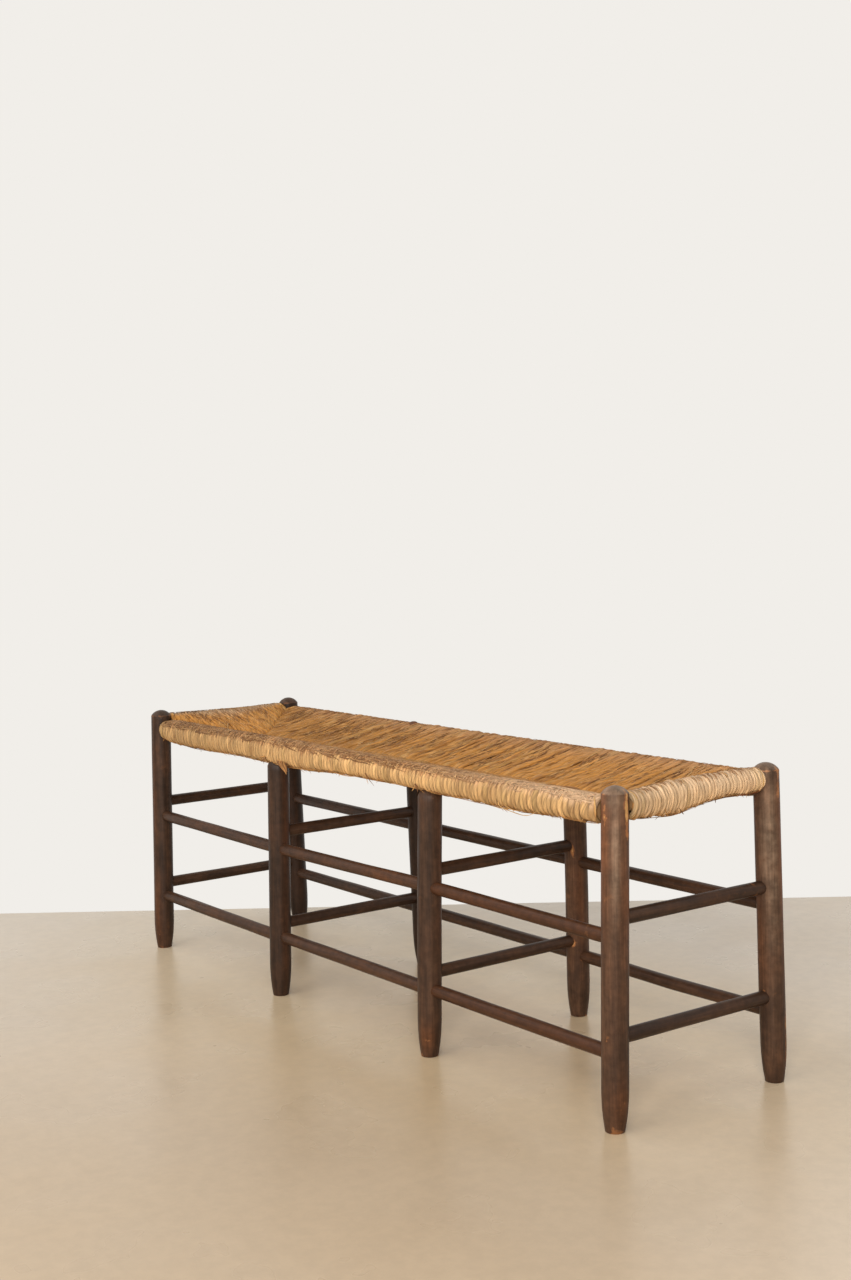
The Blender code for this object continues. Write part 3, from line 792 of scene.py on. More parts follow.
# %% Finish of the cord
def rush_finish(name, contrast):
    """Rush whose leaves differ by so much: 1 for old cord, less for single leaves."""
    rush = Finish(name)
    fibre = rush.attribute("fibre", "Vector")
    leaf = rush.noise(rush.stretched(fibre, (30, 1.9, 1.9)), 1.0, 2.0)
    vein = rush.noise(rush.stretched(fibre, (40, 12, 12)), 1.0, 3.0, 0.6, 4.0)
    split = rush.noise(rush.stretched(fibre, (46, 5, 5)), 1.0, 1.0, 0.5, 8.0)
    gap = rush.span(split, 0.30, 0.40, 1 - 0.42 * contrast, 1.0)
    tone = rush.attribute("tint", "Color")
    tone = rush.shade(tone, rush.span(leaf, 0.3, 0.7, 1 - 0.28 * contrast, 1 + 0.24 * contrast))
    tone = rush.shade(tone, rush.span(vein, 0.27, 0.73, 1 - 0.32 * contrast, 1 + 0.30 * contrast))
    rush.feed(rush.surface, "Base Color", rush.shade(tone, gap))
    rush.feed(rush.surface, "Roughness", rush.span(leaf, 0.3, 0.7, 0.68, 0.50))
    rush.feed(rush.surface, "Specular IOR Level", 0.26)
    relief = rush.sum(rush.times(leaf, 0.8), rush.times(vein, 0.35))
    rush.bump(rush.sum(relief, rush.times(gap, 0.6)), 0.0011, 0.8)
    return rush.material


cord_finish = rush_finish("twisted rush", 0.90)
leaf_finish = rush_finish("loose rush leaves", 0.35)
print("finishes:", cord_finish.name, "and", leaf_finish.name)

# %% [markdown]
# ## The shape of the seat
#
# From each rail the top of the seat runs down to a seam in the middle, steeply at first
# and then flatter, and near a corner it blends into the slope from the end rail. The
# underside closes in just inside the rolls. These are the same surfaces as the seat's
# solid has. Along the rolls the real winding rises and sags by a few millimetres, which
# a short table for each side gives as shares of its half length.

# %% Surfaces of the seat
DISH_DEPTH = 0.031
DISH_CURVE = 1.25
PINCH_CURVE = 4
SEAM_THICKNESS = 0.021
MITRE_BLEND = 0.012
LONG_ROLL_TOP = LONG_RAIL_Z + LONG_RAIL_RADIUS + RUSH
END_ROLL_TOP = END_RAIL_Z + END_RAIL_RADIUS + RUSH
SEAM_TOP = LONG_ROLL_TOP - DISH_DEPTH


def over_seat(from_long, from_end, long_edge, end_edge, seam, curve):
    """A height or thickness that runs from the nearer rail to the seam."""
    share = np.minimum(from_long, from_end) / HALF_DEPTH
    weight = np.clip((from_long - from_end) / (2 * MITRE_BLEND) + 0.5, 0, 1)
    edge = long_edge + (end_edge - long_edge) * weight
    return seam + (edge - seam) * np.clip(1 - share, 0, 1) ** curve


def top_of_seat(from_long, from_end):
    return over_seat(from_long, from_end, LONG_ROLL_TOP, END_ROLL_TOP, SEAM_TOP, DISH_CURVE)


def under_seat(from_long, from_end):
    long_roll, end_roll = 2 * (LONG_RAIL_RADIUS + RUSH), 2 * (END_RAIL_RADIUS + RUSH)
    thickness = over_seat(from_long, from_end, long_roll, end_roll, SEAM_THICKNESS, PINCH_CURVE)
    return top_of_seat(from_long, from_end) - thickness


# Share of the half length, and the rise of the roll's crest there.
CREST_RISE = {
    "front": [(-1, -0.0090), (-0.957, -0.0048), (-0.93, -0.0015), (-0.88, 0.0), (-0.4, 0.001),
              (0.36, -0.001), (1, 0.0)],
    "back": [(-1, -0.001), (-0.3, -0.001), (0.3, -0.0002), (0.8, 0.0002), (1, 0.0016)],
    "left": [(-1, -0.003), (-0.5, -0.005), (0.2, -0.007), (1, -0.005)],
    "right": [(-1, -0.006), (-0.7, -0.0055), (-0.44, -0.0025), (-0.1, 0.0), (0.4, 0.0),
              (0.84, -0.0012), (1, -0.0056)],
}
# The same for the underside of the roll.
BELLY_RISE = {
    "front": [(-1, 0.0075), (-0.92, 0.0), (-0.76, -0.0042), (-0.5, -0.0008), (-0.27, -0.0050),
              (-0.16, -0.0036), (0.0, 0.0026), (0.30, 0.0028), (0.37, 0.0006), (0.48, 0.0006),
              (0.62, -0.0013), (0.7, -0.0021), (0.8, 0.0006), (0.9, 0.0015), (1, 0.005)],
    "back": [(-1, 0.003), (-0.85, 0.0), (0.8, 0.0), (0.92, 0.0035), (1, 0.0065)],
    "left": [(-1, 0.001), (0, -0.002), (1, 0.001)],
    "right": [(-1, -0.0015), (-0.85, -0.0045), (-0.57, -0.0065), (-0.3, -0.0085), (-0.1, -0.004),
              (0.08, 0.0015), (0.35, 0.0047), (0.62, 0.0034), (0.82, 0.0040), (1, 0.0130)],
}
# How far the last cords before a post have been pulled in toward the rail.
PULLED_IN = {
    "front": [(-1, 0.0060), (-0.957, 0.0030), (-0.93, 0.0)], "back": [(0, 0.0)], "left": [(0, 0.0)],
    "right": [(0.76, 0.0), (0.88, 0.0045), (1, 0.0110)],
}
print("seam at", round(SEAM_TOP, 4), "rolls at", round(LONG_ROLL_TOP, 4), round(END_ROLL_TOP, 4))

# %% [markdown]
# ## One turn of cord
#
# A turn of cord comes up out of the seam, runs out over the packing to the rail, goes
# round the rail, and runs back under the seat to the seam again. Its line is worked out in
# a flat plane first: distance in from the rail, and height. A curve object with a round
# bevel could follow that line, but its section would be a plain circle. Here the section
# is flattened where people sit and has four soft lobes that wind along it, so it is
# swept in code: a ring of points at each step of the line, turned a little each time.
#
# A place on a turn is a number from 0 to 1: 0 at the seam, 0.45 just short of the roll, 0.5
# on its crest, 0.75 below it, and 1 back at the seam.

# %% The line of one turn
TOP_STEP = 0.0070
ROLL_POINTS = 11
UNDER_STEP = 0.0100
CORD_HALF_THICK = RUSH / 2
# How far a turn dips at the seam, and how far before the seam its even part ends.
SEAM_DIVE = 0.0075
SEAM_INSET = 0.004
# How much single cords stand up or sag: on the sitting surface, on a roll and below it.
FIELD_LIFT = 0.0009
CREST_LIFT = 0.0006
BELLY_LIFT = 0.0009
# How far in from a rail the rise of its roll is felt, on top and below.
CREST_REACH = 0.045
BELLY_REACH = 0.030
# How square a roll's section is: 2 is a circle.
ROLL_SQUARENESS = {"front": 2.4, "back": 2.4, "left": 2.0, "right": 2.1}


def bulge(side, turn):
    """How far the roll's outline stands beyond a circle at an angle around it."""
    power = ROLL_SQUARENESS[side]
    return (abs(math.cos(turn)) ** power + abs(math.sin(turn)) ** power) ** (-1 / power)


def cord_line(side, along, inner, rng):
    """Rows of (distance in from the rail, height, place on the path) from seam to seam."""
    half, _, rail_z, rail_radius = measures_of(side)
    from_other = half - abs(along)
    share = along / half
    crest = read_table(CREST_RISE[side], share) + rng.normal(0, CREST_LIFT)
    belly = read_table(BELLY_RISE[side], share) + rng.normal(0, BELLY_LIFT)
    lift = rng.normal(0, FIELD_LIFT)

    def field(surface, inward):
        return float(surface(inward, from_other) if side in LONG_SIDES else surface(from_other, inward))

    first = field(top_of_seat, inner) - CORD_HALF_THICK
    rows = [(inner + 0.001, first - SEAM_DIVE, 0.0), (inner - 0.0015, first - SEAM_DIVE * 0.45, 0.02)]
    steps = max(3, round(inner / TOP_STEP))
    for step in range(steps, 0, -1):
        inward = (inner - SEAM_INSET) * step / steps
        height = field(top_of_seat, inward) - CORD_HALF_THICK
        height += crest * math.exp(-inward / CREST_REACH) + lift * min(inward / 0.03, 1)
        rows.append((inward, height, 0.05 + 0.4 * (1 - step / steps)))
    radius = rail_radius + CORD_HALF_THICK
    for step in range(ROLL_POINTS):
        turn = math.pi / 2 - math.pi * step / (ROLL_POINTS - 1)
        rise = crest * max(math.sin(turn), 0) + belly * max(-math.sin(turn), 0)
        out = radius * bulge(side, turn)
        reach = out - read_table(PULLED_IN[side], share)
        rows.append((-reach * math.cos(turn), rail_z + out * math.sin(turn) + rise,
                     0.5 + 0.25 * step / (ROLL_POINTS - 1)))
    steps = max(3, round(inner / UNDER_STEP))
    for step in range(1, steps + 1):
        inward = (inner - SEAM_INSET) * step / steps
        height = field(under_seat, inward) + CORD_HALF_THICK + belly * math.exp(-inward / BELLY_REACH)
        rows.append((inward, height, 0.76 + 0.22 * step / steps))
    last = field(under_seat, inner) + CORD_HALF_THICK
    rows += [(inner - 0.0015, last + SEAM_DIVE * 0.3, 0.99), (inner + 0.001, last + SEAM_DIVE * 0.6, 1.0)]
    line = np.array(rows)
    loose = (line[1:-1, 2:] < 0.47) | (line[1:-1, 2:] > 0.74)
    for _ in range(3):
        smooth = line[1:-1, :2] * 0.5 + (line[:-2, :2] + line[2:, :2]) * 0.25
        line[1:-1, :2] = np.where(loose, smooth, line[1:-1, :2])
    return line


sample = cord_line("front", 0.0, HALF_DEPTH, np.random.default_rng(1))
print("points on a full turn:", len(sample))

# %% Colours of the cord
def dye(red, green, blue):
    """A colour as an array, so that two can be mixed by a sum."""
    return np.array(seen(red, green, blue))


FIELD_TINT = dye(204, 142, 68)
CREST_TINT = dye(204, 150, 98)
END_CREST_TINT = dye(229, 192, 153)
FACE_TINT = dye(242, 194, 132)
END_FACE_TINT = dye(250, 214, 172)
UNDER_TINT = dye(206, 152, 92)
BROWN_TINT = dye(124, 76, 38)
PALE_TINT = dye(240, 196, 134)
GREEN_TINT = dye(168, 140, 84)
# The left end's sitting surface is a little lighter.
LEFT_FIELD = 1.10
# How much cords differ in tone: on the sitting surface, and on the rolls.
FIELD_SPREAD = 0.050
ROLL_SPREAD = 0.090
# How many cords are greenish.
GREEN_SHARE = 0.10
# Share of the half length, and how light the sitting surface is there.
FIELD_LIGHT = [(-1, 0.84), (-0.45, 0.82), (0.1, 0.98), (1, 0.92)]
# The end rolls turn yellower toward their lower lip.
LOW_FACE = np.array([0.97, 0.91, 0.80])
# Share of the half length, and how light the outer face of the roll is there.
FACE_LIGHT = {
    "front": [(-1, 0.58), (-0.4, 0.69), (0, 0.80), (0.6, 0.705), (1, 0.67)],
    "back": [(-1, 0.85), (1, 0.9)], "left": [(-1, 0.9), (1, 0.9)],
    "right": [(-1, 0.50), (-0.85, 0.65), (-0.6, 0.77), (0.3, 0.87), (0.9, 0.90), (1, 0.80)],
}
# The same for its matted top.
CREST_LIGHT = {
    "front": [(-1, 0.54), (-0.3, 0.78), (0.3, 0.90), (0.6, 0.99), (0.85, 1.06), (1, 1.08)],
    "back": [(-1, 0.78), (1, 0.92)], "left": [(-1, 0.58), (1, 0.66)],
    "right": [(-1, 0.72), (-0.6, 0.86), (-0.2, 0.92), (1, 0.94)],
}
# How far the front roll's matted top has turned to the end rolls' pale straw.
CREST_PALE = [(-1, 0.0), (0.3, 0.0), (0.6, 0.35), (0.85, 0.85), (1, 0.95)]
# Place on a turn of cord where the matted top ends and the clean face begins, and where the
# lower lip begins. Each cord has its own, a little off.
MAT_EDGE = {"front": 0.580, "back": 0.560, "left": 0.555, "right": 0.540}
MAT_EDGE_SPREAD = 0.011
LIP_EDGE = 0.702
LIP_EDGE_SPREAD = 0.010
# How fast tones change along a cord: by the distance in from the rail, and round the roll.
STREAKS_INWARD = 76
STREAKS_ROUND = 9


def cord_tints(side, along, place, line, rng):
    """A colour for each step of a turn: by where it lies, and by the leaf it was made of."""
    share_along = along / measures_of(side)[0]
    on_long_side = side in LONG_SIDES
    face = (FACE_TINT if on_long_side else END_FACE_TINT) * read_table(FACE_LIGHT[side], share_along)
    low_face = face if on_long_side else face * LOW_FACE
    pale_share = {"front": read_table(CREST_PALE, share_along), "back": 0.0}.get(side, 1.0)
    crest = CREST_TINT + (END_CREST_TINT - CREST_TINT) * pale_share
    crest = crest * read_table(CREST_LIGHT[side], share_along)
    field_tint = FIELD_TINT * (LEFT_FIELD if side == "left" else 1.0)
    if on_long_side:
        field_tint = field_tint * read_table(FIELD_LIGHT, share_along)
    edge = MAT_EDGE[side] + rng.normal(0, MAT_EDGE_SPREAD)
    lip = LIP_EDGE + rng.normal(0, LIP_EDGE_SPREAD)
    knots = [0.0, 0.30, 0.44, 0.52, edge - 0.016, edge + 0.016, lip - 0.010, lip + 0.012, 0.75, 0.80, 1.0]
    # Toward the seam the cord is darker, a little on top where it dives in and most under the seat: painted
    # shade.
    shades = [field_tint * 0.85, field_tint, crest * 0.96, crest, crest, face, low_face,
              UNDER_TINT, UNDER_TINT, UNDER_TINT * 0.8, UNDER_TINT * 0.62]
    bands = [np.interp(place, knots, [shade[band] for shade in shades]) for band in range(3)]
    tints = np.stack(bands, axis=1)
    spread = np.interp(place, [0.44, 0.54], [FIELD_SPREAD, ROLL_SPREAD])
    tints *= np.exp(rng.normal(0, 1) * spread)[:, None]
    seed = rng.uniform(0, 50)
    for index, (inward, height, share) in enumerate(line):
        patch = noise.noise(Vector((along * 9, inward * 14, seed * 0.02)) + Vector((7, 3, 0)))
        streak = noise.noise(Vector((seed, inward * STREAKS_INWARD + share * STREAKS_ROUND, 0)))
        strong = 0.78 if share < 0.55 else 0.60
        brown = min(max((patch * 0.55 + streak * 0.85) * strong, 0.0), 0.8)
        pale = min(max(-streak * 0.95 * strong - 0.12, 0.0), 0.6) * 0.85
        for amount, mixed_in in ((brown, BROWN_TINT), (pale, PALE_TINT)):
            tints[index] = tints[index] * (1 - amount) + mixed_in * amount
    if rng.uniform() < GREEN_SHARE:
        tints = tints * 0.75 + GREEN_TINT * 0.25
    return tints


print("field tint:", FIELD_TINT.round(3))

# %% Sweep one turn into a tube
CORD_SIDES = 16
# Place on a turn of cord, and how dark the crease beside it is there: partly dirt, and partly painted shade
# where the cords touch and underneath.
CREASE_DIRT_AND_SHADE = [(0.0, 0.45), (0.1, 0.27), (0.42, 0.26), (0.5, 0.22), (0.57, 0.28), (0.60, 0.56),
               (0.75, 0.60), (1.0, 0.5)]
# How much of that darkness each side's cords take.
CREASE_SHARE = {"front": 0.9, "back": 1.0, "left": 1.0, "right": 0.50}
LOBES = 4
LOBE_DEPTH = 0.12
# How far a cord runs while its leaves wind round it once.
TWIST_LENGTH = 0.075


class Mesh:
    """Points, faces and stored values of many tubes, gathered for one object."""

    def __init__(self):
        self.points, self.faces, self.tints, self.fibres = [], [], [], []
        self.count = 0

    def add_tube(self, rings, tints, fibres):
        """Rings of points, all with as many sides, closed at both ends."""
        steps, sides = rings.shape[:2]
        start = self.count
        self.points.append(rings.reshape(-1, 3))
        self.tints.append(tints.reshape(-1, 3))
        self.fibres.append(fibres.reshape(-1, 3))
        for step in range(steps - 1):
            near = start + step * sides
            far = near + sides
            for side in range(sides):
                after = (side + 1) % sides
                self.faces.append((near + side, near + after, far + after, far + side))
        self.faces.append(tuple(start + side for side in reversed(range(sides))))
        self.faces.append(tuple(start + (steps - 1) * sides + side for side in range(sides)))
        self.count += steps * sides

    def build(self, name, material):
        """One object of all the tubes, which stands for some of the rush of the seat."""
        mesh = bpy.data.meshes.new(name)
        mesh.from_pydata(np.concatenate(self.points).tolist(), [], self.faces)
        mesh.validate()
        tint = mesh.attributes.new("tint", "FLOAT_COLOR", "POINT")
        colours = np.column_stack([np.concatenate(self.tints), np.ones(self.count)])
        tint.data.foreach_set("color", colours.astype(np.float32).ravel())
        fibre = mesh.attributes.new("fibre", "FLOAT_VECTOR", "POINT")
        fibre.data.foreach_set("vector", np.concatenate(self.fibres).astype(np.float32).ravel())
        mesh.materials.append(material)
        mesh.shade_smooth()
        piece = bpy.data.objects.new(name, mesh)
        bpy.context.collection.objects.link(piece)
        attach(piece, "root")
        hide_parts("rush_seat")
        print(piece.name, "faces:", len(mesh.polygons))


def sweep(mesh, centres, across, half_wide, half_thick, tints, twist_length, rng,
          sides=CORD_SIDES, crease=0.0):
    """Carry a lobed section along a line. Its outer side faces forward x across."""
    steps = np.gradient(centres, axis=0)
    lengths = np.linalg.norm(steps, axis=1, keepdims=True)
    forward = steps / lengths
    wide = across - forward * (forward @ across)[:, None]
    wide /= np.linalg.norm(wide, axis=1, keepdims=True)
    up = np.cross(forward, wide)
    travelled = np.concatenate([[0], np.cumsum(np.linalg.norm(np.diff(centres, axis=0), axis=1))])
    turn = rng.uniform(0, math.tau) + math.tau * travelled / twist_length
    angles = math.tau * np.arange(sides) / sides
    around = angles[None, :] - turn[:, None]
    lobe = 1 + LOBE_DEPTH * np.cos(LOBES * around)
    sideways = (half_wide[:, None] * np.cos(angles)[None, :] * lobe)[:, :, None] * wide[:, None, :]
    upward = (half_thick[:, None] * np.sin(angles)[None, :] * lobe)[:, :, None] * up[:, None, :]
    rings = centres[:, None, :] + sideways + upward
    run = np.repeat((travelled + rng.uniform(0, 40))[:, None], sides, axis=1)
    fibres = np.stack([run, np.cos(around), np.sin(around)], axis=2)
    # The underside and the sides where cords touch are darkened: dirt and painted shade.
    dirt_and_shade_weight = np.where(np.sin(angles) < -0.1, 1.0, np.abs(np.cos(angles)) ** 3)
    depth = np.zeros(len(centres)) + crease
    shaded = tints[:, None, :] * (1 - depth[:, None] * dirt_and_shade_weight[None, :])[:, :, None]
    mesh.add_tube(rings, shaded, fibres)


print("sides of a cord:", CORD_SIDES)

# %% [markdown]
# ## Winding the seat
#
# The cords lie side by side along each rail, each as wide as it happens to be, from post
# to post. Near a corner a turn is short: it only reaches the mitre, where it dives under
# its neighbour from the next rail. In the middle it reaches the long seam. Widths are
# drawn at random, then scaled so that the row fills its room exactly.

# %% Wind one side
CORD_WIDTH = 0.0082
WIDTH_SPREAD = 0.18
# How far the first cord's middle is from the middle of the post.
FIRST_CORD = 0.0215
# The first cord at the front left post stands a little farther off.
LEFT_START = {"front": 0.0068}
# How far cords stray to the side: together with their neighbours, and each by itself.
SHARED_WANDER = 0.0068
OWN_WANDER = 0.0030
# Share of that straying that is left on a roll, on a long side and on an end.
STRAY_ON_ROLL = {True: 0.15, False: 0.42}
# How thick a cord is beside half the rush's thickness, and how flat where people sit.
CORD_FATNESS = 1.08
FIELD_FLAT = 0.92
# How far cords overlap their neighbours, on the sitting surface and on the rolls.
FIELD_OVERLAP = 1.30
ROLL_OVERLAP = 1.05
# Share of the half length, and how fat the cords are there beside the usual.
CORD_SWELL = {
    "front": [(-1, 1.25), (-0.85, 1.05), (-0.5, 1.0), (0.4, 1.0), (0.75, 1.22), (1, 1.45)],
    "back": [(-1, 1.0), (0.5, 1.0), (1, 1.2)],
    "left": [(-1, 0.9), (1, 0.9)], "right": [(-1, 0.80), (-0.5, 0.70), (1, 0.68)],
}
# At the start of these sides one cord stands alone in the room of two, with a dark gap
# after it: the share of that room that it fills.
LONE_CORDS = {"front": 0.72}
# For each side: along its rail, outward, and the turn that keeps a cord's outer side out.
SIDE_FRAME = {
    "front": (Vector((1, 0, 0)), Vector((0, -1, 0)), 1),
    "back": (Vector((1, 0, 0)), Vector((0, 1, 0)), -1),
    "left": (Vector((0, 1, 0)), Vector((-1, 0, 0)), -1),
    "right": (Vector((0, 1, 0)), Vector((1, 0, 0)), 1),
}


def cord_places(side, rng):
    """Middle and width of each cord along a rail."""
    half = measures_of(side)[0] - FIRST_CORD + CORD_WIDTH / 2
    late = LEFT_START.get(side, 0.0)
    room = 2 * half - late
    widths = []
    while sum(widths) < room:
        fat = read_table(CORD_SWELL[side], (late + sum(widths)) / half - 1)
        widths.append(CORD_WIDTH * fat * float(np.clip(rng.normal(1, WIDTH_SPREAD), 0.6, 1.6)))
    widths = np.array(widths) * room / sum(widths)
    edges = np.concatenate([[0], np.cumsum(widths)]) - half + late
    places = list(zip((edges[:-1] + edges[1:]) / 2, widths))
    if side in LONE_CORDS:
        filled = (edges[2] - edges[0]) * LONE_CORDS[side]
        places[:2] = [(edges[0] + filled / 2, filled)]
    return places


def wind_cord(mesh, side, along, width, rng):
    """One whole turn of cord, as a tube. Gives back its length."""
    half, other, *_ = measures_of(side)
    inner = min(half - abs(along), HALF_DEPTH)
    line = cord_line(side, along, inner, rng)
    place = line[:, 2]
    run, outward = (np.array(v) for v in SIDE_FRAME[side][:2])
    turn = SIDE_FRAME[side][2]
    wander_seed = rng.uniform(0, 90)
    own = np.array([noise.noise(Vector((wander_seed, row * 15, 0))) for row in place])
    # The top and the underside stray by two different patterns.
    shared = np.array([noise.noise(Vector((along * 17, inward * 23, 5 + (share > 0.62) * 9)))
                       for inward, height, share in line])
    on_roll = STRAY_ON_ROLL[side in LONG_SIDES]
    free = np.interp(place, [0, 0.06, 0.30, 0.47, 0.66, 0.78, 1], [0, 1, 1, on_roll, on_roll, 0.8, 0])
    near_post = min((half - abs(along) - FIRST_CORD) / 0.04, 1.0)
    wander = (own * OWN_WANDER + shared * SHARED_WANDER * max(near_post, 0.0)) * free
    centres = outward * (other - line[:, :1]) + run * (along + wander[:, None])
    centres[:, 2] = line[:, 1]
    swell = 1 + 0.10 * np.array([noise.noise(Vector((wander_seed + 30, row * 9, 1))) for row in place])
    flat = np.interp(place, [0, 0.1, 0.40, 0.50, 0.74, 0.82], [0.9, FIELD_FLAT, FIELD_FLAT, 1, 1, 0.85])
    overlap = np.interp(place, [0.44, 0.54], [FIELD_OVERLAP, ROLL_OVERLAP])
    taper = np.interp(place, [0, 0.03, 0.97, 1], [0.5, 1, 1, 0.5])
    half_wide = 0.5 * width * overlap * swell * taper
    half_thick = CORD_HALF_THICK * CORD_FATNESS * swell * flat * taper
    tints = cord_tints(side, along, place, line, rng)
    twist_length = TWIST_LENGTH * rng.uniform(0.8, 1.5)
    # How dark the creases are: dirt and painted shade.
    crease = np.array([read_table(CREASE_DIRT_AND_SHADE, row) for row in place]) * CREASE_SHARE[side]
    sweep(mesh, centres, run * turn, half_wide, half_thick, tints, twist_length, rng, crease=crease)
    return float(np.linalg.norm(np.diff(centres, axis=0), axis=1).sum())


print("cords along a front rail:", len(cord_places("front", np.random.default_rng(2))))

# %% Wind the whole seat
bay_edges = [-1.0, *sorted((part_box(node)[0].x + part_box(node)[1].x) / 2
                           for node in ("front_inner_left_leg", "front_inner_right_leg")), 1.0]
BAYS = list(zip(("left", "middle", "right"), bay_edges, bay_edges[1:]))
turn_lengths = []
for number, side in enumerate(SIDE_FRAME):
    rng = np.random.default_rng(100 + number)
    cords = cord_places(side, rng)
    bays = BAYS if side in LONG_SIDES else [("end", -1.0, 1.0)]
    for bay, low, high in bays:
        mesh = Mesh()
        for along, width in cords:
            if low <= along < high:
                turn_lengths.append(wind_cord(mesh, side, along, width, rng))
        mesh.build(f"{side}_{bay}_rush_cords", cord_finish)
print("turns of cord:", len(turn_lengths), "and metres in all:", round(sum(turn_lengths), 1))

# %% [markdown]
# ## Loose strands
#
# A seat that has been sat on for decades frays. Leaves let go of their cord and lie along
# the top of a roll, their ends stand out below it, and a few hang in loops. Each is swept
# along a smooth line through a few places, thinner toward its ends. The named ones stand
# where the real ones do. The many small ones are strewn at random over the rolls.

# %% Lines for loose strands
LEAF_TWIST = 0.09


def smooth_line(places, steps):
    """A smooth line through the places, with equal steps in each span."""
    knots = [np.array(place, dtype=float) for place in places]
    knots = [2 * knots[0] - knots[1], *knots, 2 * knots[-1] - knots[-2]]
    line = []
    for a, b, c, d in zip(knots, knots[1:], knots[2:], knots[3:]):
        for step in range(steps):
            t = step / steps
            line.append(0.5 * (2 * b + (c - a) * t + (2 * a - 5 * b + 4 * c - d) * t ** 2
                               + (3 * b - a - 3 * c + d) * t ** 3))
    line.append(knots[-2])
    return np.array(line)


def add_strand(mesh, places, half_wide, half_thick, tint, across, rng, steps=5, sides=6, tip=0.25):
    """One leaf or fibre along a line, narrower at both ends. Its tip is a share of its width."""
    line = smooth_line(places, steps)
    share = np.linspace(0, 1, len(line))
    taper = np.interp(share, [0, 0.12, 0.7, 1], [tip + 0.25, 1, 0.9, tip])
    tones = np.array(tint)[None, :] * (1 + 0.18 * np.sin(share * 9 + rng.uniform(0, 6)))[:, None]
    across = np.array(across, dtype=float)
    sweep(mesh, line, across, half_wide * taper, half_thick * taper, tones, LEAF_TWIST, rng, sides)


def roll_place(side, along, turn, lift):
    """A place on a roll: turn is 90 on its crest, 0 on its outer side and -90 below."""
    half, other, rail_z, rail_radius = measures_of(side)
    angle = math.radians(turn)
    rise = (read_table(CREST_RISE[side], along / half) * max(math.sin(angle), 0)
            + read_table(BELLY_RISE[side], along / half) * max(-math.sin(angle), 0))
    radius = (rail_radius + RUSH) * bulge(side, angle) + lift
    reach = radius - read_table(PULLED_IN[side], along / half)
    run, outward, _ = SIDE_FRAME[side]
    return (run * along + outward * (other + reach * math.cos(angle))
            + Vector((0, 0, rail_z + radius * math.sin(angle) + rise)))


print("a place on the front roll:", tuple(round(v, 4) for v in roll_place("front", 0, 45, 0)))

# %% Strands that stand where the real ones do
STRAW = seen(214, 170, 108)
TAN = seen(190, 138, 80)
ROLL_TAN = seen(170, 122, 70)
BROWN_TAN = seen(146, 100, 58)
DARK_TAN = seen(118, 76, 42)
DEPTH_AXIS = (0, 1, 0)
LENGTH_AXIS = (1, 0, 0)
# Leaves pushed in between a post and the first cord: distance from the post's middle, lift,
# tint. They go round the roll from just behind its crest to just inside its lower lip.
CORNER_FILL = [(0.0190, -0.0046, TAN), (0.0208, -0.0030, STRAW), (0.0226, -0.0018, STRAW)]
CORNER_TURNS = range(120, -121, -20)
CORNER_LEAF = 0.0016
# A dark leaf under the end of the right roll: places along the roll, and angle round it.
DARK_LEAF = (0.074, 0.092, 0.108, 0.121)
DARK_LEAF_TURN = -56
DARK_LEAF_TINT = seen(122, 68, 36)
